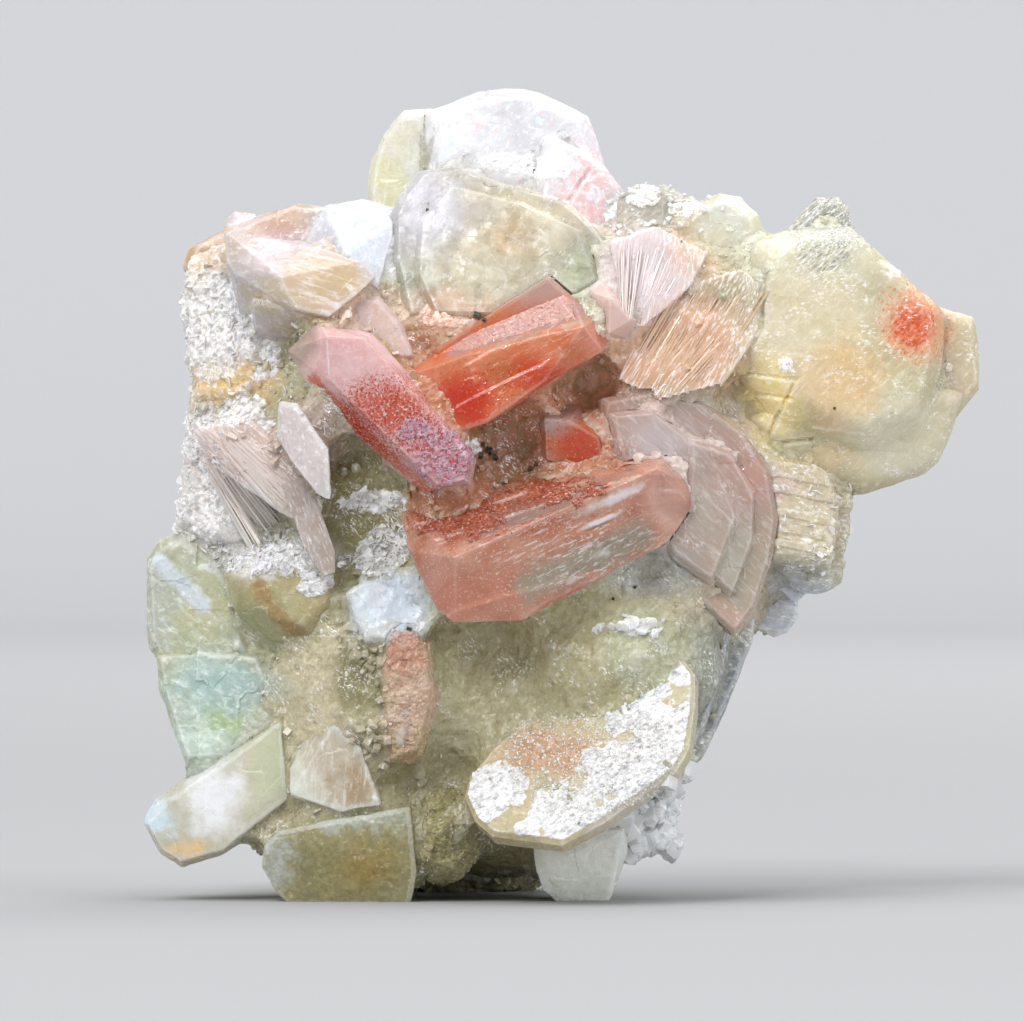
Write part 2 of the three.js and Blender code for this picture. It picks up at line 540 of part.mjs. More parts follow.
grow('back_fan', paleClear(), ...stack({
  outline: [[-8.0, 70.0], [4.0, 71.0], [12.0, 64.0], [14.0, 54.0], [8.0, 46.0], [-4.0, 46.0],
    [-10.0, 56.0]],
  pivot: [1.0, 58.0], y: 11.6, leanX: 0.15, leanZ: -0.25, thick: 3.0, bevel: 0.9,
}, [
  { deeper: 0, shift: [0, 0], scale: 1 },
  { deeper: 2.6, shift: [2.2, -2.0], scale: 0.8 },
  { deeper: 4.8, shift: [4.0, -4.4], scale: 0.55 },
]));

grow('back_left_blade', milkyWhite(), plate({
  outline: [[-34.0, 60.0], [-26.0, 66.0], [-16.0, 60.0], [-14.0, 50.0], [-20.0, 42.0], [-32.0, 46.0]],
  y: 9.0, leanX: -0.3, leanZ: -0.1, thick: 5.4, bevel: 1.4,
}));

grow('back_low_blade', palePink(), block(
  [-16.0, 10.0, 44.0], [2.0, 10.0, 38.0], [4.0, 10.0, 30.0], [-12.0, 10.0, 28.0], [-20.0, 10.0, 34.0],
  [-15.0, 18.6, 41.0], [1.0, 17.6, 36.6], [2.0, 17.0, 31.6], [-11.0, 18.6, 31.0], [-18.0, 17.4, 34.6],
  [-10.0, 20.6, 36.0], [-2.0, 20.2, 34.0],
));

grow('back_right_plates', paleGreen(), ...stack({
  outline: [[10.0, 44.0], [20.0, 46.0], [27.0, 40.0], [25.0, 31.0], [16.0, 27.0], [9.0, 33.0]],
  pivot: [17.0, 37.0], y: 4.0, leanX: 0.2, leanZ: 0.15, thick: 4.0, bevel: 1.0,
}, [
  { deeper: 0, shift: [0, 0], scale: 1 },
  { deeper: 3.4, shift: [-2.0, 1.6], scale: 0.72 },
]));

grow('back_green_plate', paleGreen(), plate({
  outline: [[-39.0, 30.0], [-34.0, 35.0], [-25.0, 33.0], [-22.0, 24.0], [-27.0, 16.0], [-36.0, 17.0]],
  y: 4.4, leanX: -0.15, leanZ: 0.1, thick: 4.6, bevel: 1.2,
}));

grow('left_side_blade', milkyWhite(), block(
  [-37.0, 0.0, 52.0], [-36.0, 7.0, 55.0], [-30.0, 12.0, 52.0], [-29.0, 13.0, 42.0], [-33.0, 9.0, 37.0],
  [-37.4, 2.0, 42.0], [-28.0, 2.0, 50.0], [-28.0, 4.0, 40.0],
));

grow('back_top_blade', milkyWhite(), plate({
  outline: [[-17.6, 74.0], [-12.0, 77.0], [-2.0, 76.0], [2.6, 71.0], [0.0, 62.0], [-16.0, 62.0]],
  y: 7.2, leanX: 0.1, leanZ: -0.12, thick: 3.6, bevel: 1.0,
}));

grow('back_amber_plates', amber(), ...stack({
  outline: [[17.0, 60.0], [24.0, 63.0], [31.0, 61.0], [35.6, 54.0], [33.0, 47.0], [25.0, 44.6],
    [17.0, 50.0]],
  pivot: [26.0, 54.0], y: 5.6, leanX: -0.12, leanZ: -0.08, thick: 4.2, bevel: 1.2,
}, [
  { deeper: 0, shift: [0, 0], scale: 1 },
  { deeper: 3.2, shift: [-1.6, 1.2], scale: 0.66 },
]));

grow('back_low_plates', paleGreen(), ...stack({
  outline: [[-26.0, 24.0], [-18.0, 29.0], [-6.0, 27.0], [0.0, 21.0], [-4.0, 14.0], [-16.0, 12.0],
    [-24.0, 16.0]],
  pivot: [-14.0, 20.0], y: 10.6, leanX: 0.12, leanZ: 0.2, thick: 3.6, bevel: 0.9,
}, [
  { deeper: 0, shift: [0, 0], scale: 1 },
  { deeper: 3.0, shift: [-1.8, 1.6], scale: 0.74 },
]));

grow('back_foot', granular(), lump([-9.0, 14.0, 8.0], [13.0, 8.6, 10.6], 4.1, 0.08));

// ---- the intergrown mass that carries them all ----

function intergrownMass() {
  const lumps = [
    lump([-9, 1, 38], [23, 14.5, 26], 0.4), // middle
    lump([-12, -5, 46], [12, 9, 10], 1.9), // behind the red blades
    lump([-28, 1, 50], [10, 11, 14], 1.1), // left flank
    lump([-29, 0, 28], [10, 9, 13], 1.7), // behind the green plates
    lump([-17, -4, 21], [13, 12, 12], 2.3), // bottom left
    lump([-25, -2, 9.5], [5.4, 8, 4.6], 5.9), // behind the top of the block
    lump([-3, -3, 17], [14, 12, 13.5], 2.9), // bottom right
    lump([4, -7.5, 24], [12, 10.5, 11], 3.7), // behind the hexagonal plate
    lump([-7, 2, 61], [16, 10, 8.5], 3.1), // under the dome
    lump([10, 1, 54], [15, 11, 13], 3.5), // under the sheaves
    lump([25, 1, 52], [11, 7, 9], 4.2), // inside the amber lobe
    lump([13, -1, 34], [9, 9, 13], 4.8), // behind the clear fan
    lump([-7, -1, 9.5], [11, 11, 8.8], 5.3), // between the block and the wedge
    lump([-8, 6, 20], [16, 10, 14], 0.9), // back of the foot
  ];
  const solid = standing(joined(lumps.map((piece) => hull(piece(0)))));
  return largestBody(seated(solid, boxOf(lumps)));
}

show('intergrown_mass', intergrownMass(), granular());

export default cluster;
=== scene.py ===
import itertools
import math

import bpy
import numpy as np
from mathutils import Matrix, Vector
from mathutils.bvhtree import BVHTree


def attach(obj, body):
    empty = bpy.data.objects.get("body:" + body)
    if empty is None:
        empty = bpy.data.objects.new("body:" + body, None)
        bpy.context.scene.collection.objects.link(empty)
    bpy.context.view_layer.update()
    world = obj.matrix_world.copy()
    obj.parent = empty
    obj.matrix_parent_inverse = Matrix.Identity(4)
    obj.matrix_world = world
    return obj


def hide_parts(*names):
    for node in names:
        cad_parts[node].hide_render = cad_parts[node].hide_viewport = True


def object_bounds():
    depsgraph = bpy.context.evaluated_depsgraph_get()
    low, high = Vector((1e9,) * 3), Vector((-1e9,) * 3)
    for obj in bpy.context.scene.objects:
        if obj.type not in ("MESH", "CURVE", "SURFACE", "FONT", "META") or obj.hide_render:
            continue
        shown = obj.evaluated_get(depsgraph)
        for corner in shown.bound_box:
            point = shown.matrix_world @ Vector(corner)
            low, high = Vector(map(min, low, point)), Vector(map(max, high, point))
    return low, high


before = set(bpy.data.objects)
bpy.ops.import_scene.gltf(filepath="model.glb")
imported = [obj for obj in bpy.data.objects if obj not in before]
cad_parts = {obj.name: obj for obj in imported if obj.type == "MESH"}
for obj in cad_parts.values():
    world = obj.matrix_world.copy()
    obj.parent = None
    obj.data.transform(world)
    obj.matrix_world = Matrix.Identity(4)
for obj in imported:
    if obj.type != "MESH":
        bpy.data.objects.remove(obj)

cad_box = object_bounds()
MM = 0.001


# ---- camera ----
# A long lens, level with the middle of the cluster, straight on to its front.

camera_data = bpy.data.cameras.new("camera")
camera_data.lens = 316.0
camera_data.sensor_width = 36.0
camera_data.clip_start = 0.05
camera_data.clip_end = 20.0
camera = bpy.data.objects.new("camera", camera_data)
camera.location = (-5.15 * MM, -0.9, 38.6 * MM)
camera.rotation_euler = (math.radians(90), 0.0, 0.0)
bpy.context.collection.objects.link(camera)
bpy.context.scene.camera = camera


# ---- floor and light ----
# A wide, shallow, pale dish: a flat floor whose edge sweeps up far away, so that no line of the
# horizon shows. Big soft lamps stand above it, the strongest over and behind the cluster.

FLOOR_RADIUS = 2.6
FLOOR_RIM = 0.9
bpy.ops.object.select_all(action="DESELECT")
bpy.ops.mesh.primitive_cylinder_add(vertices=96, radius=FLOOR_RADIUS, depth=FLOOR_RIM,
                                    location=(0, 0, FLOOR_RIM / 2))
floor = bpy.context.object
floor.name = "floor"
bpy.ops.object.mode_set(mode="EDIT")
bpy.ops.mesh.select_mode(type="FACE")
bpy.ops.mesh.select_all(action="DESELECT")
bpy.ops.object.mode_set(mode="OBJECT")
for face in floor.data.polygons:
    face.select = face.normal.z > 0.9
bpy.ops.object.mode_set(mode="EDIT")
bpy.ops.mesh.delete(type="FACE")
bpy.ops.mesh.select_all(action="SELECT")
bpy.ops.mesh.flip_normals()
bpy.ops.object.mode_set(mode="OBJECT")
sweep = floor.modifiers.new("sweep", "BEVEL")
sweep.width = 0.6
sweep.segments = 16
sweep.limit_method = "ANGLE"
sweep.angle_limit = math.radians(60)
bpy.ops.object.modifier_apply(modifier="sweep")
bpy.ops.object.transform_apply(location=True, rotation=True, scale=True)
bpy.ops.object.shade_smooth()

paper = bpy.data.materials.new("floor_paper")
paper.use_nodes = True
paper_shader = paper.node_tree.nodes["Principled BSDF"]
paper_shader.inputs["Roughness"].default_value = 0.95
paper_shader.inputs["Specular IOR Level"].default_value = 0.0
paper_place = paper.node_tree.nodes.new("ShaderNodeTexCoord")
paper_far = paper.node_tree.nodes.new("ShaderNodeVectorMath")
paper_far.operation = "LENGTH"
# The paper runs from dark in the middle to pale at the rim: painted shade round the cluster, against the
# pool of light that the lamps throw there.
paper_ramp = paper.node_tree.nodes.new("ShaderNodeValToRGB")
paper_ramp.color_ramp.interpolation = "EASE"
paper_ramp.color_ramp.elements[0].position = 0.05
paper_ramp.color_ramp.elements[0].color = (0.40, 0.402, 0.41, 1)
paper_ramp.color_ramp.elements[1].position = 1.0
paper_ramp.color_ramp.elements[1].color = (0.78, 0.785, 0.80, 1)
paper_scale = paper.node_tree.nodes.new("ShaderNodeMath")
paper_scale.operation = "DIVIDE"
paper_scale.inputs[1].default_value = FLOOR_RADIUS
paper.node_tree.links.new(paper_place.outputs["Object"], paper_far.inputs[0])
paper.node_tree.links.new(paper_far.outputs["Value"], paper_scale.inputs[0])
paper.node_tree.links.new(paper_scale.outputs[0], paper_ramp.inputs["Fac"])
paper.node_tree.links.new(paper_ramp.outputs["Color"], paper_shader.inputs["Base Color"])
floor.data.materials.append(paper)

AIM = Vector((-5.0, 0.0, 38.0)) * MM


def lamp(name, place, size, watts, colour):
    """A soft square lamp that faces the cluster."""
    data = bpy.data.lights.new(name, "AREA")
    data.size = size
    data.energy = watts
    data.color = colour
    light = bpy.data.objects.new(name, data)
    light.location = place
    light.rotation_euler = (AIM - Vector(place)).to_track_quat("-Z", "Y").to_euler()
    light.visible_camera = False
    bpy.context.collection.objects.link(light)


lamp("key", (-0.85, -1.15, 1.55), 1.30, 27.0, (1.0, 0.985, 0.96))
lamp("top", (0.10, 0.10, 1.85), 1.20, 17.0, (0.97, 0.98, 1.0))
lamp("back", (0.75, 1.05, 1.45), 1.00, 11.0, (1.0, 0.97, 0.92))
lamp("side", (1.50, -0.70, 0.70), 1.10, 11.0, (0.95, 0.97, 1.0))
lamp("glint", (-0.45, -1.30, 1.25), 0.10, 3.0, (1.0, 1.0, 1.0))

world = bpy.data.worlds.new("studio")
world.use_nodes = True
world.node_tree.nodes["Background"].inputs["Color"].default_value = (0.93, 0.96, 1.0, 1)
world.node_tree.nodes["Background"].inputs["Strength"].default_value = 0.42
bpy.context.scene.world = world
bpy.context.scene.view_settings.view_transform = "Standard"


# ---- intergrown mass ----
# The body of the stone: tiny crystals of the same minerals, grown into each other like sugar,
# olive to grey-green, stained brown in its pockets. Every other crystal is rooted in it.

MERGE = 0.002 * MM


def take(node, name, whole=False, grow=0.0):
    """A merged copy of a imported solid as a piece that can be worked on. whole wraps it in its convex
    shape, without the seats of its neighbours; grow moves its faces out, in millimetres."""
    bpy.ops.object.select_all(action="DESELECT")
    piece = bpy.data.objects.new(name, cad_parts[node].data.copy())
    piece.data.materials.clear()
    bpy.context.collection.objects.link(piece)
    bpy.context.view_layer.objects.active = piece
    piece.select_set(True)
    bpy.ops.object.mode_set(mode="EDIT")
    bpy.ops.mesh.select_all(action="SELECT")
    bpy.ops.mesh.remove_doubles(threshold=MERGE)
    if whole:
        bpy.ops.mesh.convex_hull(join_triangles=False)
    bpy.ops.mesh.select_all(action="SELECT")
    bpy.ops.mesh.dissolve_limited(angle_limit=math.radians(1.5))
    bpy.ops.object.mode_set(mode="OBJECT")
    if grow:
        apply(piece, "DISPLACE", strength=grow * MM, mid_level=0.0)
    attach(piece, "root")
    return piece


def apply(piece, kind, **settings):
    """Adds a modifier of that kind and applies it."""
    bpy.ops.object.select_all(action="DESELECT")
    bpy.context.view_layer.objects.active = piece
    piece.select_set(True)
    modifier = piece.modifiers.new("work", kind)
    for key, value in settings.items():
        setattr(modifier, key, value)
    bpy.ops.object.modifier_apply(modifier=modifier.name)


def fine_mesh(piece, step):
    """Gives the piece an even, fine mesh of that step, in millimetres, so that it can be carved."""
    apply(piece, "REMESH", mode="VOXEL", voxel_size=step * MM)


def crisp_mesh(piece, depth):
    """An even, fine mesh that keeps the sharp edges of the crystal. Depth 7 cuts its length in 128."""
    apply(piece, "REMESH", mode="SHARP", octree_depth=depth, scale=0.95, sharpness=1.0,
          use_remove_disconnected=True, threshold=0.05)


LATTICE = 32  # random heights repeat after this many of their own sizes


def swells(places, size, seed):
    """Smooth random heights from -1 to 1, of that size in millimetres."""
    lattice = np.random.default_rng(seed).uniform(-1, 1, (LATTICE, LATTICE, LATTICE))
    at = places / size
    cell = np.floor(at).astype(int)
    part = at - cell
    part = part * part * (3 - 2 * part)
    total = np.zeros(len(places))
    for corner in itertools.product((0, 1), repeat=3):
        weight = np.prod(np.where(corner, part, 1 - part), axis=1)
        i, j, k = ((cell + corner) % LATTICE).T
        total += weight * lattice[i, j, k]
    return total


CROWD = 16  # a crowd of grains repeats after this many
VALLEY = 0.25  # the share of a grain that slopes down to its neighbour


def grains(places, size, seed, tilt=0.5, valley=2.4):
    """Heights from about -1 to 1 of a crowd of small crystals: each grain is one facet with its own
    height and slope, and the facets meet in sharp valleys."""
    rng = np.random.default_rng(seed)
    crowd = (CROWD, CROWD, CROWD)
    spots = rng.uniform(0, 1, crowd + (3,))
    slopes = rng.normal(0, tilt, crowd + (3,))
    lifts = rng.uniform(-0.5, 0.5, crowd)
    at = places / size
    cell = np.floor(at).astype(int)
    nearest = np.full(len(places), 9.0)
    second = np.full(len(places), 9.0)
    height = np.zeros(len(places))
    for shift in itertools.product((-1, 0, 1), repeat=3):
        i, j, k = ((cell + shift) % CROWD).T
        away = at - cell - shift - spots[i, j, k]
        far = np.abs(away).max(axis=1)
        mine = far < nearest
        facet = lifts[i, j, k] + (away * slopes[i, j, k]).sum(axis=1)
        height = np.where(mine, facet, height)
        second = np.where(mine, nearest, np.minimum(second, far))
        nearest = np.where(mine, far, nearest)
    return height - np.clip(VALLEY - (second - nearest), 0, VALLEY) * valley


def points_of(piece):
    """The places of a piece's vertices, in millimetres, and their normals."""
    mesh = piece.data
    places = np.empty(len(mesh.vertices) * 3)
    mesh.vertices.foreach_get("co", places)
    normals = np.empty(len(mesh.vertices) * 3, np.float32)
    mesh.vertex_normals.foreach_get("vector", normals)
    return places.reshape(-1, 3) / MM, normals.reshape(-1, 3)


BOX = tuple(np.array(corner) / MM for corner in cad_box)  # the cluster's own box, in millimetres


def carve(piece, push):
    """Moves every vertex along its normal by push(places, normals), in millimetres, and keeps the
    piece on the floor and inside the cluster's box."""
    places, normals = points_of(piece)
    places = places + normals * push(places, normals)[:, None]
    piece.data.vertices.foreach_set("co", (np.clip(places, *BOX) * MM).ravel())
    piece.data.update()


def clouds(places, size, seed):
    """Ragged random heights, about -1 to 1: swells of that size that carry ever smaller ones."""
    return sum(0.6 ** i * swells(places, size / 2 ** i, seed + i) for i in range(4)) / 1.3


def paint(piece, name, values):
    """Stores one number for each vertex, which the finish reads by that name."""
    layer = piece.data.attributes.new(name, "FLOAT", "POINT")
    layer.data.foreach_set("value", np.asarray(values, np.float32))


def stain(*pieces):
    """Paints the colours of the stone on some pieces, as "stone": they run through all its crystals."""
    for piece in pieces:
        places = points_of(piece)[0]
        x = places[:, 0] + 1.2 * swells(places, 4.0, 301) + 0.6 * swells(places, 1.4, 302)
        z = places[:, 2] + 1.2 * swells(places, 4.0, 303) + 0.6 * swells(places, 1.4, 304)
        sides = []
        for stains in (STAINS, BACK_STAINS):
            colours = np.tile(tint(STONE["body"])[:3], (len(places), 1))
            for colour, middle_x, middle_z, wide, high, strength in stains:
                far = np.sqrt(((x - middle_x) / wide) ** 2 + ((z - middle_z) / high) ** 2)
                share = np.clip((1.35 - far) / 0.8, 0, 1)
                share = strength * share * share * (3 - 2 * share)
                colours += share[:, None] * (np.array(tint(STONE[colour])[:3]) - colours)
            sides.append(colours)
        at_back = np.clip((places[:, 1] - 1.0) / 5.0, 0, 1)[:, None]
        rgba = np.ones((len(places), 4), np.float32)
        rgba[:, :3] = sides[0] * (1 - at_back) + sides[1] * at_back
        layer = piece.data.attributes.new("stone", "FLOAT_COLOR", "POINT")
        layer.data.foreach_set("color", rgba.ravel())


def mark_edges(piece):
    """Paints "edge": above 0 on edges and points, below 0 in seams."""
    mesh = piece.data
    places, normals = points_of(piece)
    ends = np.empty(len(mesh.edges) * 2, np.int32)
    mesh.edges.foreach_get("vertices", ends)
    first, second = ends.reshape(-1, 2).T
    count = len(places)
    near = np.maximum(np.bincount(first, minlength=count) + np.bincount(second, minlength=count), 1)

    def mean(values):
        total = np.bincount(first, values[second], count) + np.bincount(second, values[first], count)
        return total / near

    middles = np.stack([mean(places[:, axis]) for axis in range(3)], axis=1)
    bend = ((places - middles) * normals).sum(axis=1)
    bend /= np.linalg.norm(places[first] - places[second], axis=1).mean()
    bend = 0.5 * bend + 0.5 * mean(bend)
    paint(piece, "edge", np.clip(5 * bend, -1, 1))


def ragged(places, ovals, size, seed):
    """1 inside some ovals as seen from the front, (x, z, wide, high), 0 outside, with ragged borders."""
    inside = np.full(len(places), -1.5)
    for x, z, wide, high in ovals:
        here = 1 - ((places[:, 0] - x) / wide) ** 2 - ((places[:, 2] - z) / high) ** 2
        inside = np.maximum(inside, here)
    return np.clip(0.5 + 2.2 * (inside - 0.25 + 0.9 * clouds(places, size, seed)), 0, 1)


def encrust(piece, ovals, seed, where=None):
    """Grows a thin, ragged crust of tiny grains on a piece and paints it "crust"."""
    places, normals = points_of(piece)
    crust = ragged(places, ovals, 2.2, seed)
    if where is not None:
        crust = crust * where(places, normals)
    carve(piece, lambda at, out: crust * (0.2 + 0.16 * grains(at, 0.55, seed + 5, 0.9)))
    paint(piece, "crust", crust)


def groove(places, start, end, width, deep):
    """Depth of a groove from start to end, both (x, z) as seen from the front."""
    start, end = np.array(start), np.array(end)
    at = places[:, [0, 2]] - start
    way = end - start
    share = np.clip(at @ way / (way @ way), 0, 1)
    far = np.linalg.norm(at - share[:, None] * way, axis=1)
    return -deep * np.clip(1 - far / width, 0, 1)


STONE = {
    "body": "aaa484", "milk": "d9d7da", "snow": "d8dee6", "rose": "e4d2d6", "blush": "d4b0a2",
    "mauve": "c4aca6", "cream": "d9ccac", "ivory": "d2d2bc", "honey": "d5b27e", "lemon": "efda8e",
    "peach": "dfac8c", "clay": "be7c5c", "rust": "ae5f3a", "brown": "93542e", "tan": "c6b096",
    "olive": "aaa27a", "khaki": "8c845a", "moss": "77723f", "sage": "b3b799", "sea": "a8c0bb",
    "ice": "c8d5e3", "silver": "b0b3b2", "slate": "8c918a",
}  # the minerals' own colours, and the browns that iron leaves in the pockets
STAINS = (
    ("milk", -4.0, 76.5, 10.0, 6.0, 1.0), ("rose", 2.5, 70.5, 4.4, 5.0, 0.9),
    ("ivory", -17.6, 73.0, 3.6, 8.0, 0.9), ("snow", -21.0, 66.0, 5.4, 5.0, 1.0),
    ("cream", -6.0, 65.6, 8.0, 5.4, 0.9), ("milk", -14.4, 68.0, 4.0, 5.0, 0.9),
    ("sage", 2.6, 62.6, 4.2, 3.4, 0.9), ("rose", -28.0, 64.6, 6.4, 3.0, 0.9),
    ("honey", -23.4, 60.8, 5.0, 3.4, 0.9), ("tan", -35.0, 64.6, 4.6, 4.0, 0.9),
    ("blush", -30.6, 68.0, 4.6, 1.6, 0.7), ("milk", -34.0, 57.4, 5.4, 5.0, 0.9),
    ("honey", -32.8, 51.2, 4.6, 2.2, 0.9), ("milk", -34.6, 41.0, 7.0, 8.0, 0.75),
    ("blush", -31.4, 44.6, 5.6, 3.4, 0.7), ("mauve", -25.4, 44.0, 4.0, 6.0, 0.7),
    ("moss", -20.8, 38.6, 4.2, 6.4, 0.95), ("blush", -20.4, 58.0, 4.4, 3.4, 0.8),
    ("clay", -5.0, 47.4, 12.0, 7.4, 0.95), ("clay", 6.0, 46.4, 5.0, 4.0, 0.8),
    ("peach", -11.0, 58.0, 5.2, 2.8, 0.9), ("rust", -14.8, 53.8, 3.2, 2.8, 0.9),
    ("brown", -6.6, 42.8, 5.0, 4.4, 0.95), ("clay", -0.6, 47.8, 5.2, 3.4, 0.8),
    ("peach", 4.6, 53.6, 4.6, 3.4, 0.9), ("rust", -12.4, 49.6, 2.6, 4.6, 0.95),
    ("rust", -11.8, 39.8, 4.6, 2.0, 0.95), ("rust", 2.4, 43.6, 4.8, 1.6, 0.9),
    ("blush", 9.8, 43.2, 3.4, 1.8, 0.8), ("rose", 8.0, 62.0, 4.8, 5.0, 0.95),
    ("peach", 13.4, 64.0, 3.2, 3.6, 0.6), ("peach", 12.4, 54.8, 6.4, 4.6, 0.9),
    ("silver", 9.8, 69.2, 5.6, 2.6, 0.9), ("ivory", 17.0, 66.4, 4.2, 4.2, 0.9),
    ("ivory", 24.6, 64.6, 6.0, 4.6, 0.95), ("cream", 24.0, 57.4, 7.0, 4.8, 0.9),
    ("honey", 27.0, 51.4, 4.6, 4.6, 0.85), ("peach", 34.8, 57.0, 3.6, 3.8, 0.8),
    ("tan", 40.2, 53.0, 2.6, 5.6, 0.7), ("ivory", 33.6, 46.0, 6.4, 4.2, 0.8),
    ("lemon", 19.8, 49.6, 3.0, 4.4, 0.95), ("honey", 24.6, 43.6, 5.4, 1.6, 0.6),
    ("tan", 23.0, 38.6, 5.4, 5.0, 0.8), ("silver", 22.8, 29.6, 5.0, 4.2, 0.95),
    ("slate", 15.6, 20.0, 4.4, 9.0, 0.9), ("silver", 8.0, 8.0, 5.6, 6.0, 0.9),
    ("mauve", 14.6, 41.6, 6.6, 8.0, 0.9), ("mauve", 8.4, 47.4, 4.6, 2.6, 0.8),
    ("tan", 16.6, 30.6, 3.6, 4.0, 0.8), ("silver", 9.0, 33.0, 6.0, 3.4, 0.8),
    ("olive", -2.0, 24.0, 13.0, 7.0, 0.9), ("sage", 7.6, 24.4, 5.0, 4.0, 0.8),
    ("cream", -22.0, 19.0, 6.0, 9.0, 0.7), ("moss", -20.6, 21.6, 2.8, 4.2, 0.9),
    ("blush", -15.6, 20.0, 2.6, 6.6, 0.6), ("khaki", -18.6, 13.0, 4.6, 4.0, 0.5),
    ("sage", -36.4, 29.6, 5.6, 5.4, 0.95), ("sea", -33.8, 21.4, 6.0, 3.4, 0.95),
    ("sea", -36.4, 15.6, 4.6, 3.6, 0.6), ("olive", -27.6, 29.4, 5.0, 3.6, 0.85),
    ("milk", -28.6, 34.2, 6.4, 1.8, 0.75), ("sage", -30.4, 27.0, 3.4, 3.2, 0.6),
    ("ice", -17.0, 29.2, 4.6, 3.4, 0.95), ("khaki", -20.6, 3.6, 8.0, 4.4, 0.9),
    ("khaki", -8.8, 6.6, 6.0, 7.0, 0.9),
)  # which mineral or stain lies where on the front: (colour, x, z, wide, high, strength), in millimetres
BACK_STAINS = (
    ("milk", -4.0, 75.0, 12.0, 7.0, 0.9), ("milk", -26.0, 58.0, 8.0, 6.0, 0.8),
    ("ivory", 2.0, 60.0, 12.0, 9.0, 0.8), ("honey", 26.0, 54.0, 10.0, 9.0, 0.8),
    ("tan", -34.0, 58.0, 7.0, 10.0, 0.7), ("sage", -28.0, 34.0, 10.0, 9.0, 0.8),
    ("blush", -8.0, 36.0, 8.0, 6.0, 0.8), ("sage", -14.0, 20.0, 11.0, 8.0, 0.8),
    ("sage", 14.0, 34.0, 9.0, 9.0, 0.7), ("khaki", -14.0, 5.0, 14.0, 6.0, 0.8),
    ("khaki", 5.0, 45.0, 4.6, 5.0, 0.85), ("cream", 30.0, 44.0, 6.0, 6.0, 0.8),
    ("rust", -20.0, 46.0, 4.0, 3.0, 0.7), ("clay", -14.0, 33.0, 7.0, 2.6, 0.85),
    ("snow", -20.0, 26.0, 5.0, 3.0, 0.85), ("sea", -33.0, 24.0, 5.0, 6.0, 0.7),
    ("milk", 16.0, 24.0, 5.0, 6.0, 0.8), ("clay", -2.0, 52.0, 6.0, 2.6, 0.8),
    ("moss", -6.0, 14.0, 5.0, 4.0, 0.8),
)  # the same for the back


def tint(code):
    """A colour written as six hex digits, as the shader needs it."""
    parts = [int(code[i:i + 2], 16) / 255 for i in (0, 2, 4)]
    return tuple(((p + 0.055) / 1.055) ** 2.4 if p > 0.04 else p / 12.92 for p in parts) + (1,)


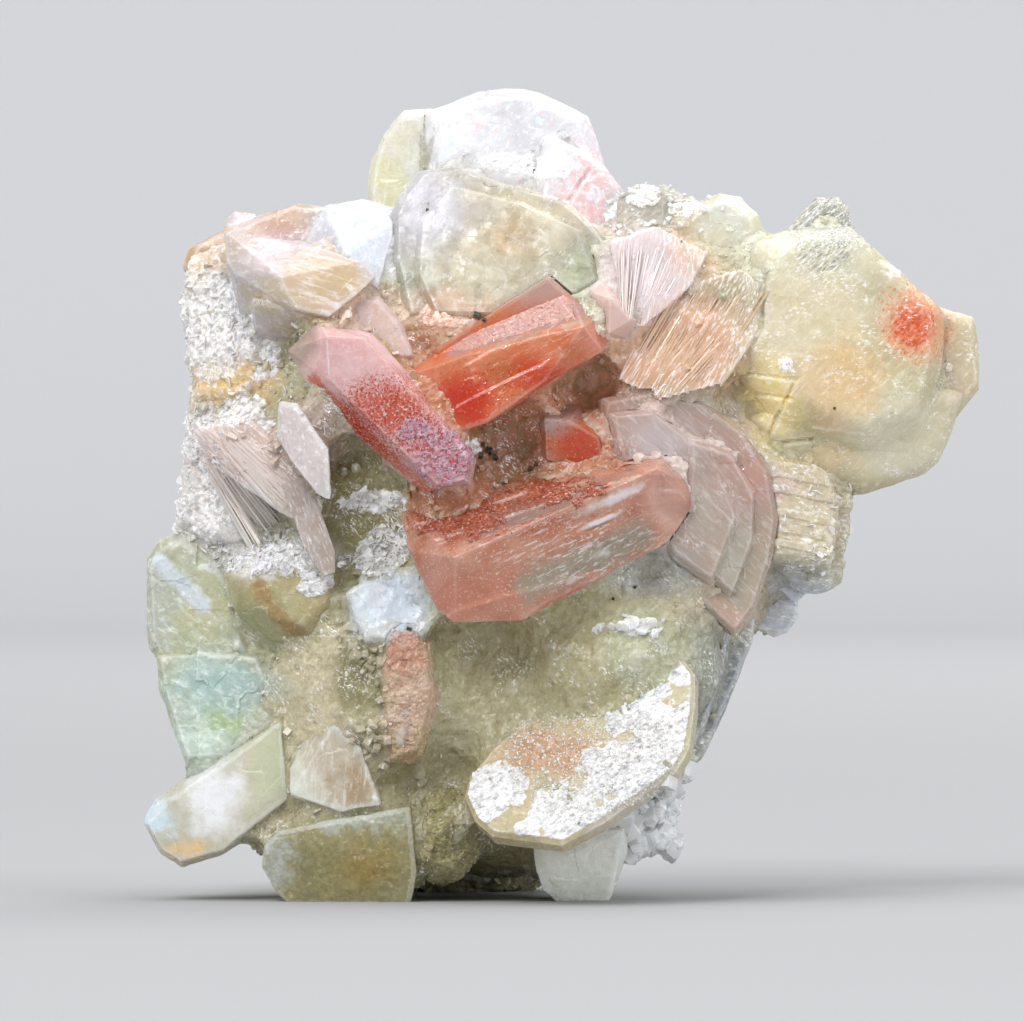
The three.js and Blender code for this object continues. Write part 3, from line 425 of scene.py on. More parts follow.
class Finish:
    """A material of stone, put together step by step. Its patterns are laid out in millimetres."""

    def __init__(self, name):
        self.material = bpy.data.materials.new(name)
        self.material.use_nodes = True
        self.nodes = self.material.node_tree.nodes
        self.links = self.material.node_tree.links
        self.shader = self.nodes["Principled BSDF"]
        self.shader.inputs["IOR"].default_value = 1.53
        place = self.nodes.new("ShaderNodeTexCoord")
        self.place = self.vector("SCALE", place.outputs["Object"], scale=1 / MM)
        self.frosted = None

    def vector(self, operation, first, second=None, scale=None):
        node = self.nodes.new("ShaderNodeVectorMath")
        node.operation = operation
        self.feed(node.inputs[0], first)
        if second is not None:
            self.feed(node.inputs[1], second)
        if scale is not None:
            node.inputs["Scale"].default_value = scale
        return node.outputs["Value"] if operation in ("LENGTH", "DOT_PRODUCT") else node.outputs[0]

    def feed(self, socket, value):
        if isinstance(value, bpy.types.NodeSocket):
            self.links.new(value, socket)
        else:
            socket.default_value = value

    def sums(self, operation, first, second):
        node = self.nodes.new("ShaderNodeMath")
        node.operation = operation
        self.feed(node.inputs[0], first)
        self.feed(node.inputs[1], second)
        return node.outputs[0]

    def noise(self, size, detail=3.0, rough=0.5, shift=0.0, colour=False):
        """Clouds of that size."""
        node = self.nodes.new("ShaderNodeTexNoise")
        node.inputs["Scale"].default_value = 1 / size
        node.inputs["Detail"].default_value = detail
        node.inputs["Roughness"].default_value = rough
        at = self.place
        if shift:
            at = self.vector("ADD", at, (shift, shift * 0.7, shift * 1.3))
        self.links.new(at, node.inputs["Vector"])
        return node.outputs["Color" if colour else "Fac"]

    def silk(self, along, size, stretch=7.0, shift=0.0):
        """Clouds that are drawn out along one way, like the fibres or cleavage of a crystal."""
        u = np.array(along, float) / np.linalg.norm(along)
        v = np.cross(u, (0.0, 1.0, 0.0))
        v = v / np.linalg.norm(v)
        parts = self.nodes.new("ShaderNodeCombineXYZ")
        for i, axis in enumerate((u / stretch, v, np.cross(u, v))):
            self.links.new(self.vector("DOT_PRODUCT", self.place, tuple(axis)), parts.inputs[i])
        at = self.vector("ADD", parts.outputs[0], (shift, shift, shift))
        node = self.nodes.new("ShaderNodeTexNoise")
        node.inputs["Scale"].default_value = 1 / size
        node.inputs["Detail"].default_value = 3.0
        node.inputs["Roughness"].default_value = 0.65
        self.links.new(at, node.inputs["Vector"])
        return node.outputs["Fac"]

    def wisps(self, colour, along, size, strength=0.6, low=0.50, high=0.72, shift=0.0, stretch=7.0,
              where=None):
        """Silky streaks of one colour along one way."""
        share = self.mask(self.silk(along, size, stretch, shift), low, high, strength)
        if where is not None:
            share = self.sums("MULTIPLY", share, where)
        self.colour = self.blend(share, self.colour, colour)
        return self

    def cells(self, size):
        """A random colour for each grain of that size."""
        node = self.nodes.new("ShaderNodeTexVoronoi")
        node.inputs["Scale"].default_value = 1 / size
        self.links.new(self.place, node.inputs["Vector"])
        return node.outputs["Color"]

    def mask(self, value, low, high, top=1.0, bottom=0.0):
        """Goes from bottom to top as the value goes from low to high."""
        node = self.nodes.new("ShaderNodeMapRange")
        node.interpolation_type = "SMOOTHSTEP"
        self.feed(node.inputs["Value"], value)
        node.inputs["From Min"].default_value = low
        node.inputs["From Max"].default_value = high
        node.inputs["To Min"].default_value = bottom
        node.inputs["To Max"].default_value = top
        return node.outputs["Result"]

    def blend(self, share, first, second, kind="MIX"):
        node = self.nodes.new("ShaderNodeMix")
        node.data_type = "RGBA"
        node.blend_type = kind
        self.feed(node.inputs[0], share)
        self.feed(node.inputs[6], tint(first) if isinstance(first, str) else first)
        self.feed(node.inputs[7], tint(second) if isinstance(second, str) else second)
        return node.outputs[2]

    def ground(self, first, second, size, stained=0.6):
        """Two colours in soft clouds, and the colours that stain painted."""
        share = self.mask(self.noise(size, 2.0, 0.6), 0.38, 0.62)
        self.colour = self.blend(share, first, second)
        if stained:
            node = self.nodes.new("ShaderNodeAttribute")
            node.attribute_name = "stone"
            self.colour = self.blend(stained, self.colour, node.outputs["Color"])
        return self

    def patches(self, *spots, wobble=1.6):
        """Coloured zones in the stone: (colour, centre, radii, strength), with ragged borders."""
        wave = self.vector("SUBTRACT", self.noise(2.6, 3.0, 0.65, 3.0, colour=True), (0.5, 0.5, 0.5))
        moved = self.vector("ADD", self.place, self.vector("SCALE", wave, scale=wobble * 4))
        for colour, centre, radii, strength in spots:
            away = self.vector("SUBTRACT", moved, centre)
            share = self.vector("LENGTH", self.vector("DIVIDE", away, radii))
            self.colour = self.blend(self.mask(share, 1.3, 0.3, strength), self.colour, colour)
        return self

    def specks(self, colour, size, low, high, strength=1.0, shift=0.0, where=None):
        """Ragged specks or veils of one colour, where the clouds of that size are dense."""
        share = self.mask(self.noise(size, 3.0, 0.7, shift), low, high, strength)
        if where is not None:
            share = self.sums("MULTIPLY", share, where)
        self.colour = self.blend(share, self.colour, colour)
        return self

    def inside(self, centre, radii, soft=0.4):
        """1 inside an egg-shaped zone and 0 outside it."""
        away = self.vector("DIVIDE", self.vector("SUBTRACT", self.place, centre), radii)
        return self.mask(self.vector("LENGTH", away), 1.0 + soft / 2, 1.0 - soft / 2)

    def lines(self, along, spacing, strength, share):
        """Cleavage lines: thin parallel streaks across the direction along."""
        length = math.sqrt(sum(a * a for a in along))
        across = self.vector("DOT_PRODUCT", self.place, tuple(a / length for a in along))
        bend = self.sums("MULTIPLY", self.noise(5.0, 2.0), 1.2)
        at = self.sums("DIVIDE", self.sums("ADD", across, bend), spacing)
        node = self.nodes.new("ShaderNodeTexNoise")
        node.noise_dimensions = "1D"
        node.inputs["Scale"].default_value = 1.0
        node.inputs["Detail"].default_value = 4.0
        node.inputs["Roughness"].default_value = 0.75
        self.links.new(at, node.inputs["W"])
        thin = self.mask(node.outputs["Fac"], 1 - share, 1 - share + 0.14, strength)
        self.colour = self.blend(thin, self.colour, "ffffff")
        return self

    def glitter(self, along, size=0.22, strength=0.85):
        """Painted glints: patches of small bright splinters, painted where cleavage would throw back the
        light, and their painted shadows.
        """
        here = self.mask(self.noise(3.2, 2.0, 0.6, 16.0), 0.50, 0.62)
        other = (along[0] + 0.5 * along[2], along[1], along[2] - 0.5 * along[0])
        # Painted glints in white and near white, then the splinters' painted shadows in dark grey.
        self.wisps("ffffff", along, size, strength, 0.56, 0.64, shift=13.0, stretch=2.4, where=here)
        self.wisps("fbf8f2", other, 1.5 * size, 0.6 * strength, 0.58, 0.66, shift=22.0, stretch=3.0,
                   where=here)
        return self.wisps("7c7664", other, size, 0.4 * strength, 0.60, 0.70, shift=33.3, stretch=3.0,
                          where=here)

    def sugar(self, size, strength=0.35):
        """The sparkle of fine grains, painted: light and dark grains side by side, a random tone for each
        grain that also stands in for the glints of grains catching the light.
        """
        share = self.mask(self.cells(size), 0.2, 0.8)
        light = self.blend(share, (0.72, 0.72, 0.72, 1), (1.25, 1.25, 1.25, 1))
        self.colour = self.blend(strength, self.colour, light, "MULTIPLY")
        return self

    def painted(self, name):
        """A number that was painted on the vertices."""
        node = self.nodes.new("ShaderNodeAttribute")
        node.attribute_name = name
        return node.outputs["Fac"]

    def edges(self, colour="ffffff", strength=0.2, seams=None, deep=0.5):
        """Painted highlights on edges and points, and painted shade in the seams, both where the painted
        "edge" says.
        """
        edge = self.painted("edge")
        self.colour = self.blend(self.mask(edge, 0.12, 0.75, strength), self.colour, colour)
        if seams:
            # the seam colour is painted shade
            self.colour = self.blend(self.mask(edge, -0.12, -0.75, deep), self.colour, seams)
        return self

    def frost(self, light="ffffff", dark="8e8c86", size=0.24, strength=0.95, along=None):
        """A glittering crust where "crust" is painted: light grains, the crust's own white with its glitter
        painted in, and dark grains, painted shade between them.
        along draws the grains out into flakes."""
        fine = self.silk(along, size, 3.0, 4.0) if along else self.noise(size, 2.0, 0.6, 4.0)
        ragged_edge = self.sums("ADD", self.painted("crust"), self.sums("MULTIPLY", fine, 0.9))
        self.frosted = self.mask(ragged_edge, 0.70, 1.0, strength)
        grain = self.blend(self.mask(fine, 0.34, 0.52), dark, light)
        self.colour = self.blend(self.frosted, self.colour, grain)
        return self

    def surface(self, smooth, rough, size=2.0, facets=0.0, facet_size=0.6, bumps=()):
        """Roughness in patches, many small facets that catch the light one by one, and fine bumps of
        (size, height)."""
        share = self.noise(size, 2.0, 0.65, 7.0)
        self.feed(self.shader.inputs["Roughness"], self.mask(share, 0.35, 0.65, rough, smooth))
        normal = None
        if facets:
            turned = self.vector("SUBTRACT", self.cells(facet_size), (0.5, 0.5, 0.5))
            geometry = self.nodes.new("ShaderNodeNewGeometry")
            tilt = self.vector("SCALE", turned, scale=facets)
            if self.frosted is not None:
                more = self.nodes.new("ShaderNodeVectorMath")
                more.operation = "SCALE"
                self.links.new(turned, more.inputs[0])
                self.links.new(self.sums("MULTIPLY", self.frosted, 0.9), more.inputs["Scale"])
                tilt = self.vector("ADD", tilt, more.outputs[0])
            added = self.vector("ADD", geometry.outputs["Normal"], tilt)
            normal = self.vector("NORMALIZE", added)
        for bump_size, height in bumps:
            bump = self.nodes.new("ShaderNodeBump")
            bump.inputs["Strength"].default_value = 1.0
            bump.inputs["Distance"].default_value = height * MM
            self.links.new(self.noise(bump_size, 2.0, 0.6), bump.inputs["Height"])
            if normal is not None:
                self.links.new(normal, bump.inputs["Normal"])
            normal = bump.outputs["Normal"]
        if normal is not None:
            self.links.new(normal, self.shader.inputs["Normal"])
        return self

    def depth(self, glow, reach=1.5, warm=(1.0, 0.75, 0.5), clear=0.0):
        """How light enters: glow is the share that scatters under the surface, reach how far in
        millimetres, and clear the share that goes straight through."""
        self.shader.subsurface_method = "BURLEY"
        self.shader.inputs["Subsurface Weight"].default_value = glow
        self.shader.inputs["Subsurface Scale"].default_value = reach * MM
        self.shader.inputs["Subsurface Radius"].default_value = warm
        self.feed(self.shader.inputs["Transmission Weight"], clear)
        return self

    def absorbs(self, colour, density):
        """Plain absorption inside a clear crystal: density is per millimetre."""
        volume = self.nodes.new("ShaderNodeVolumeAbsorption")
        volume.inputs["Color"].default_value = tint(colour)
        volume.inputs["Density"].default_value = density / MM
        output = self.nodes["Material Output"]
        self.links.new(volume.outputs["Volume"], output.inputs["Volume"])
        return self

    def on(self, *pieces):
        """Ends the material and puts it on the pieces."""
        self.links.new(self.colour, self.shader.inputs["Base Color"])
        for piece in pieces:
            stain(piece)
            piece.data.materials.clear()
            piece.data.materials.append(self.material)
        return self


CLEAR_ONES = ("lower_red_blade", "left_red_blade", "upper_red_blade", "orange_crystal", "small_pink_crystal",
              "clear_upper_plate", "clear_fan", "back_fan")
SEAM = 1.7  # half the width of the widest seam that the fine crystals have closed
SUNK = 0.12  # how far the mass then lies under the faces of the crystals


def gathered(name, nodes, grow=0.0):
    """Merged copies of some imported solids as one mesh."""
    parts = []
    for node in nodes:
        part = bpy.data.objects.new(name + "_part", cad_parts[node].data.copy())
        bpy.context.collection.objects.link(part)
        parts.append(part)
    bpy.ops.object.select_all(action="DESELECT")
    for part in parts:
        part.select_set(True)
    bpy.context.view_layer.objects.active = parts[0]
    bpy.ops.object.join()
    whole = parts[0]
    whole.name = name
    whole.data.materials.clear()
    bpy.ops.object.mode_set(mode="EDIT")
    bpy.ops.mesh.select_all(action="SELECT")
    bpy.ops.mesh.remove_doubles(threshold=MERGE)
    bpy.ops.object.mode_set(mode="OBJECT")
    if grow:
        apply(whole, "DISPLACE", strength=grow * MM, mid_level=0.0)
    return whole


mass = gathered("sugary_mass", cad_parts)
for swell in (SEAM, -(SEAM + SUNK)):
    fine_mesh(mass, 0.6)
    apply(mass, "DISPLACE", strength=swell * MM, mid_level=0.0)
fine_mesh(mass, 0.6)
clear_ones = gathered("clear_ones", CLEAR_ONES, -0.1)
fine_mesh(clear_ones, 0.35)
apply(mass, "BOOLEAN", operation="DIFFERENCE", object=clear_ones, solver="MANIFOLD")
bpy.data.objects.remove(clear_ones)
fine_mesh(mass, 0.54)
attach(mass, "root")
carve(mass, lambda at, out: 0.3 * clouds(at, 3.4, 1) + 0.16 * grains(at, 2.2, 2, 0.3)
      + 0.1 * grains(at, 1.2, 3))
encrust(mass, (
    (-18.6, 39.6, 3.6, 1.2), (-18.1, 34.8, 3.2, 2.6), (7.2, 27.2, 2.8, 0.6), (-34.0, 50.0, 5.0, 12.0),
    (-9.4, 44.4, 1.6, 1.2), (-3.0, 68.6, 9.0, 1.6), (8.6, 68.4, 3.0, 1.2),
), 141)
mark_edges(mass)
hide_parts("intergrown_mass")

(Finish("sugary_mass")
 .ground("aea888", "c3bea4", 4.0, 0.88)
 .specks("e6e4d6", 0.45, 0.60, 0.70, 0.5)
 .specks("6d6538", 0.4, 0.64, 0.72, 0.6, shift=11.0)
 .sugar(0.3, 0.3)
 # Painted glints and their shadows, then painted highlights on the edges and painted shade, 7d7448, in the
 # seams.
 .glitter((0.8, 0.2, -0.6))
 .edges("f2f0e6", 0.22, "7d7448", 0.4)
 .frost("fafafc", "c6c3b8", 0.4, along=(0.8, 0.3, 0.4))
 .surface(0.16, 0.45, 1.6, facets=0.3, facet_size=0.4, bumps=((0.3, 0.05),))
 .depth(0.3, 2.4)
 .on(mass))


# ---- red blades ----
# Clear, coffin-shaped blades that grew over an older, red one: specks of iron oxide settled on the
# old faces and were sealed in. Each is a glassy shell round a rough core that holds the colour.


TREADS = 512  # growth steps repeat after this many
RISER = 0.25  # the share of a growth step that slopes to the next one


def ridges(places, along, spacing, seed, wander=0.5):
    """Heights from 0 to 1 of long parallel growth steps that follow each other across the way along."""
    way = np.array(along, float) / np.linalg.norm(along)
    step = (places @ way + wander * swells(places, 6.0, seed)) / spacing
    heights = np.random.default_rng(seed).uniform(0, 1, TREADS)
    at = np.floor(step).astype(int)
    part = np.clip((step - at - (1 - RISER)) / RISER, 0, 1)
    return heights[at % TREADS] * (1 - part) + heights[(at + 1) % TREADS] * part


SKIN = 0.15  # how far a clear crystal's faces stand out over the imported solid, in millimetres


def shell(node, name, lined, seed, whole=True):
    """A clear crystal with low growth steps across its length: lined is (way across them, spacing,
    height)."""
    piece = take(node, name, whole=whole)
    crisp_mesh(piece, 7)
    carve(piece, lambda at, out: SKIN + lined[2] * (ridges(at, lined[0], lined[1], seed) - 0.5)
          + 0.03 * swells(at, 0.8, seed) + 0.05 * grains(at, 3.4, seed + 2, 0.05, 0.0))
    mark_edges(piece)
    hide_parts(node)
    return piece


def cut_off(piece, cuts):
    """Cuts a closed piece by planes, each (point, way out) in millimetres, and keeps the inner side."""
    bpy.ops.object.select_all(action="DESELECT")
    bpy.context.view_layer.objects.active = piece
    piece.select_set(True)
    bpy.ops.object.mode_set(mode="EDIT")
    for point, out in cuts:
        bpy.ops.mesh.select_all(action="SELECT")
        bpy.ops.mesh.bisect(plane_co=Vector(point) * MM, plane_no=out, use_fill=True, clear_outer=True)
    bpy.ops.object.mode_set(mode="OBJECT")


def core(node, name, seed, cuts=()):
    """What is sealed inside a clear crystal: the same shape, smaller, with a rough skin. Beyond the
    cuts the crystal stays clear."""
    piece = take(node, name, whole=True, grow=-2 * SKIN)
    cut_off(piece, cuts)
    crisp_mesh(piece, 7)
    carve(piece, lambda at, out: 0.05 * swells(at, 1.6, seed) + 0.07 * grains(at, 0.5, seed + 1, 0.6))
    mark_edges(piece)
    return piece


def overgrowth(node, name, ovals, seed, cuts=()):
    """A ragged crust on part of a clear crystal. Where there is no crust its skin dips inside."""
    piece = take(node, name, whole=True, grow=SKIN)
    cut_off(piece, cuts)
    crisp_mesh(piece, 7)
    crust = ragged(points_of(piece)[0], ovals, 1.3, seed)
    carve(piece, lambda at, out: crust * (0.2 + 0.1 * grains(at, 0.5, seed, 0.8)) - (1 - crust) * 1.3)
    mark_edges(piece)
    return piece


def streak(finish, colour, start, end, width, strength=0.9, soft=0.5):
    """A coloured band from start to end, in millimetres, with ragged borders."""
    start, end = np.array(start, float), np.array(end, float)
    way = end - start
    wave = finish.vector("SUBTRACT", finish.noise(1.2, 3.0, 0.65, 5.0, colour=True), (0.5, 0.5, 0.5))
    moved = finish.vector("ADD", finish.place, finish.vector("SCALE", wave, scale=width * 1.6))
    away = finish.vector("SUBTRACT", moved, tuple(start))
    along = finish.vector("DOT_PRODUCT", away, tuple(way / (way @ way)))
    clamp = finish.nodes.new("ShaderNodeClamp")
    finish.links.new(along, clamp.inputs[0])
    nearest = finish.nodes.new("ShaderNodeVectorMath")
    nearest.operation = "SCALE"
    nearest.inputs[0].default_value = tuple(way)
    finish.links.new(clamp.outputs[0], nearest.inputs["Scale"])
    far = finish.vector("LENGTH", finish.vector("SUBTRACT", away, nearest.outputs[0]))
    share = finish.mask(far, width * (1 + soft), width * (1 - soft), strength)
    finish.colour = finish.blend(share, finish.colour, colour)
    return finish


def phantom(name, shell_piece, core_piece, paint_on, *clear):
    """The finishes of one blade: paint_on lays the same colours on the core and, paler, in the
    crystal round it, which is clear in some egg-shaped zones (centre, radii)."""
    inner = paint_on(Finish(name + "_core"))
    # Painted highlights on the edges of the core, and below on the edges of the glass round it.
    inner.edges("fff0ea", 0.15)
    inner.surface(0.15, 0.4, facets=0.25, facet_size=0.4, bumps=((0.25, 0.04),))
    inner.depth(0.15, 1.4, (1.0, 0.6, 0.5)).on(core_piece)
    outer = paint_on(Finish(name + "_glass"))
    outer.edges("ffe6dc", 0.16)
    veil = 0.3
    for centre, radii in clear:
        veil = outer.sums("MAXIMUM", veil, outer.sums("MULTIPLY", outer.inside(centre, radii, 0.9), 0.55))
    outer.surface(0.03, 0.16, 2.0, facets=0.05, facet_size=0.5, bumps=((0.3, 0.015),))
    outer.depth(0.25, 1.4, (1.0, 0.5, 0.3), clear=veil).absorbs("ffd8c8", 0.001).on(shell_piece)


lower_shell = shell("lower_red_blade", "lower_red_blade_shell",
                    ((-0.27, 0.3, 0.96), 1.2, 0.22), 211)
lower_core = core("lower_red_blade", "lower_red_blade_core", 21)
left_shell = shell("left_red_blade", "left_red_blade_shell",
                   ((0.68, 0.2, 0.73), 1.6, 0.1), 212)
left_core = core("left_red_blade", "left_red_blade_core", 22,
                 cuts=(((-24.2, -16, 54.0), (-0.8, 0, 0.5)),))
upper_shell = shell("upper_red_blade", "upper_red_blade_shell",
                    ((-0.49, 0.2, 0.87), 1.2, 0.14), 213, whole=False)
upper_core = core("upper_red_blade", "upper_red_blade_core", 23,
                  cuts=(((-12.7, -12.4, 54.6), (-0.386, 0, 0.923)), ((3.0, -14, 56.0), (1, 0, 0.1))))
orange_shell = shell("orange_crystal", "orange_crystal_shell", ((0, 0.3, 1), 1.4, 0.08), 214)
orange_core = core("orange_crystal", "orange_crystal_core", 24,
                   cuts=(((-1.6, -13, 48.4), (-0.5, 0, 0.8)),))


def lower_colours(finish):
    finish.ground("c88266", "d09a80", 3.0, 0.0).patches(
        ("b04c26", (-7.6, -15, 38.2), (8.4, 7, 2.6), 0.95),
        ("98401e", (-11.8, -16, 36.8), (2.6, 7, 2.2), 0.85),
        ("d88e74", (-9.4, -19, 30.6), (4.6, 8, 2.8), 0.95),
        ("dca490", (-12.6, -18, 34.2), (1.4, 8, 4.0), 0.8),
        ("f0c4b4", (10.2, -16, 39.8), (3.0, 8, 4.2), 0.9),
        ("b85c38", (2.0, -13, 43.4), (5.6, 5, 1.5), 0.8),
        ("93776a", (-3.0, -18, 38.4), (6.0, 4, 1.6), 0.7), wobble=0.6)
    streak(finish, "a8a08c", (-3.4, -20, 31.4), (7.4, -19, 36.0), 1.7, 0.9, 0.5)
    finish.specks("8f8474", 0.9, 0.56, 0.68, 0.7, shift=9.0,
                  where=finish.inside((2.6, -19, 34.4), (6.4, 9, 3.0)))
    finish.specks("b02c0e", 0.26, 0.52, 0.62, 0.8, where=finish.inside((-7.0, -15, 38.4), (10.5, 9, 3.4)))
    finish.specks("f0d2c6", 0.28, 0.57, 0.66, 0.75, shift=4.0)
    streak(finish, "a38f86", (-8.4, -20, 35.4), (6.6, -18, 41.8), 1.1, 0.8, 0.6)
    streak(finish, "eae4e6", (-4.4, -20, 36.0), (7.6, -20, 41.0), 0.42, 0.9, 0.6)
    streak(finish, "fbfbfd", (-3.0, -20, 35.0), (6.4, -20, 38.8), 0.24, 0.9, 0.6)
    streak(finish, "6f6258", (-3.4, -20, 34.5), (5.6, -20, 38.0), 0.14, 0.6, 0.8)
    streak(finish, "dedcd2", (-5.6, -20, 32.2), (4.0, -19, 34.6), 0.4, 0.8, 0.8)
    streak(finish, "e6e4de", (0.4, -20, 31.6), (7.0, -19, 34.8), 0.26, 0.8, 0.8)
    streak(finish, "c98a78", (-4.0, -20, 30.4), (3.0, -19, 32.4), 0.5, 0.7, 0.8)
    finish.wisps("f6f0ee", (0.9, 0, 0.4), 0.3, 0.7, 0.54, 0.64,
                 where=finish.inside((1.6, -19, 34.8), (8.6, 9, 3.6), 1.2))
    return finish


def left_colours(finish):
    finish.ground("f8d2d2", "f0bebc", 3.0, 0.0).patches(
        ("f0d4c2", (-26.0, -14, 54.6), (2.4, 8, 3.0), 0.9),
        ("d96440", (-17.0, -18, 48.6), (5.0, 8, 2.8), 0.9),
        ("c24a58", (-12.6, -19, 44.2), (3.8, 8, 3.4), 0.7), wobble=0.6)
    streak(finish, "de6236", (-24.4, -16.0, 51.0), (-13.2, -16.6, 40.2), 1.3, 0.9, 0.35)
    finish.specks("c02a0e", 0.26, 0.46, 0.58, 0.9, where=finish.inside((-16.4, -18, 48.0), (6.4, 9, 4.4)))
    finish.specks("f8dcdf", 0.3, 0.54, 0.62, 0.8, shift=6.0)
    streak(finish, "ffffff", (-23.3, -18.7, 55.3), (-23.1, -18.5, 52.0), 0.10, 0.6)
    return finish


def upper_colours(finish):
    finish.ground("d8764a", "e08a62", 3.0, 0.0).patches(
        ("cf2e04", (-9.8, -16, 49.2), (3.6, 8, 3.4), 0.95),
        ("d23c0c", (-3.2, -16, 52.2), (4.0, 8, 1.9), 0.85),
        ("bd6e38", (-6.2, -16, 52.4), (2.4, 8, 1.2), 0.6),
        ("eb9a80", (3.0, -14, 56.0), (2.4, 8, 3.0), 0.85),
        ("cda69c", (-2.4, -11.6, 60.6), (6.8, 4.2, 3.0), 0.95), wobble=0.6)
    streak(finish, "cf9c84", (-5.6, -15.6, 55.0), (2.2, -15.8, 57.4), 1.0, 0.7, 0.6)
    streak(finish, "bc9088", (-10.0, -14.6, 54.8), (1.4, -14.8, 58.8), 1.6, 0.95, 0.35)
    streak(finish, "bfa08a", (-8.0, -16.6, 54.8), (-2.6, -16.8, 56.2), 0.35, 0.8, 0.7)
    finish.specks("b82402", 0.30, 0.54, 0.66, 0.75, where=finish.inside((-7.0, -15, 50.4), (8.0, 9, 3.2)))
    finish.specks("f6cdbc", 0.28, 0.60, 0.70, 0.6, shift=8.0)
    streak(finish, "d0c0ae", (0.0, -16.6, 56.6), (3.0, -16.8, 58.0), 0.35, 0.7, 0.7)
    streak(finish, "f0b49c", (-8.0, -16.6, 47.6), (4.4, -16.8, 54.2), 0.35, 0.7, 0.7)
    finish.wisps("f2cdbc", (0.9, 0, 0.42), 0.3, 0.5, 0.54, 0.66, stretch=5.0,
                 where=finish.inside((-1.0, -15, 56.0), (6.6, 9, 2.6), 1.2))
    return finish


def orange_colours(finish):
    finish.ground("d87c50", "cc8666", 2.4, 0.0).patches(
        ("cf4a24", (1.6, -14, 45.0), (3.0, 8, 2.0), 0.9),
        ("c4b0a8", (-1.4, -13, 48.0), (3.4, 8, 2.2), 0.95), wobble=0.6)
    finish.specks("cc3414", 0.34, 0.54, 0.64, 0.8, where=finish.inside((1.4, -14, 45.4), (4.4, 9, 3.2)))
    return finish.specks("f2cab8", 0.34, 0.60, 0.68, 0.5, shift=8.0)


phantom("lower_blade", lower_shell, lower_core, lower_colours, ((11.0, -16, 40.6), (2.6, 8, 3.4)))
phantom("left_blade", left_shell, left_core, left_colours, ((-26.0, -14, 55.0), (2.6, 8, 2.6)))
phantom("upper_blade", upper_shell, upper_core, upper_colours, ((4.2, -13, 56.4), (1.4, 8, 2.4)))
phantom("orange_crystal", orange_shell, orange_core, orange_colours, ((-1.4, -13, 48.6), (3.0, 8, 1.2)))

lilac_crust = overgrowth("left_red_blade", "left_red_blade_crust",
                         ((-11.8, 44.0, 3.2, 3.6), (-14.6, 46.4, 2.2, 1.6)), 25,
                         cuts=(((-18.5, -16, 50.0), (-0.6, 0, 0.8)),))
(Finish("lilac_crust").ground("b08c96", "a68892", 1.6, 0.0)
 .specks("d2b8c2", 0.5, 0.54, 0.62, 0.7)
 .specks("b4384a", 0.34, 0.53, 0.58, 0.9, shift=3.0)
 # Painted highlights on the edges and painted shade, a04a50, in the seams.
 .edges("eedbe6", 0.2, "a04a50", 0.5)
 .surface(0.2, 0.5, facets=0.35, facet_size=0.3, bumps=((0.25, 0.05),))
 .depth(0.3, 1.2, (1.0, 0.7, 0.8)).on(lilac_crust))

red_crust = overgrowth("lower_red_blade", "lower_red_blade_crust",
                       ((-9.4, 38.2, 6.4, 2.6), (-1.6, 40.8, 6.6, 2.0)), 26,
                       cuts=(((9.0, -13, 44.0), (1, 0, 0)),))
(Finish("red_crust").ground("883a1c", "984a28", 1.6, 0.0)
 .specks("e6c0b0", 0.3, 0.57, 0.65, 0.8)
 .specks("8e2a10", 0.3, 0.54, 0.64, 0.7, shift=3.0)
 # Painted highlights on the edges and painted shade, 8a2e16, in the seams.
 .edges("e8c4b6", 0.12, "8a2e16", 0.5)
 .surface(0.2, 0.5, facets=0.35, facet_size=0.3, bumps=((0.25, 0.05),))
 .depth(0.3, 1.2, (1.0, 0.5, 0.4)).on(red_crust))


# ---- clear plates ----
# Thin, clear plates with pearly cleavage: a broad one at the top, a fan of them on the right, a
# small pink crystal in the middle and a fan at the back. Wisps of veil hang inside them.


def plates(node, name, seed):
    """A stack of clear plates with low growth steps."""
    piece = take(node, name)
    crisp_mesh(piece, 7)
    carve(piece, lambda at, out: 0.12 + 0.04 * swells(at, 1.4, seed)
          + 0.08 * grains(at, 4.5, seed, 0.04, 0.0))
    mark_edges(piece)
    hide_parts(node)
    return piece


clear_upper = plates("clear_upper_plate", "clear_upper_plate_face", 221)
clear_fan = plates("clear_fan", "clear_fan_face", 222)
back_fan = plates("back_fan", "back_fan_face", 223)
small_pink = plates("small_pink_crystal", "small_pink_crystal_face", 224)

finish = Finish("clear_upper_plate").ground("cfc7b6", "cbc5ab", 4.0)
finish.patches(
    ("e6e4f0", (-13.4, -8, 68.6), (4.6, 7, 4.6), 0.85),
    ("cfb184", (-5.2, -8, 65.6), (2.8, 7, 2.2), 0.75),
    ("b2bb92", (2.6, -8, 61.8), (3.6, 7, 3.0), 0.8),
    ("ccd0bc", (-15.0, -8, 61.6), (3.0, 7, 3.0), 0.6),
    ("dcb698", (-6.0, -8, 58.4), (7.0, 7, 1.8), 0.7), wobble=1.0)
streak(finish, "a58a70", (-14.6, -8, 72.0), (-3.4, -8, 70.0), 0.16, 0.7, 0.8)
streak(finish, "f6f6f4", (-8.0, -8, 63.2), (-1.0, -8, 64.0), 0.2, 0.7, 0.8)
veil = finish.mask(finish.noise(2.6, 2.0, 0.6), 0.38, 0.62, 0.2, 0.4)
(finish.specks("f6f6f2", 0.5, 0.64, 0.72, 0.5)
 .wisps("f4f2ea", (1, 0, -0.4), 0.5, 0.35)
 .glitter((0.5, 0, 0.9), 0.3, 0.7)
 .edges("ffffff", 0.14)
 .surface(0.2, 0.36, 2.0, facets=0.06, bumps=((0.4, 0.015),))
 .depth(0.35, 2.4, clear=veil).absorbs("e8e0b8", 0.003).on(clear_upper))

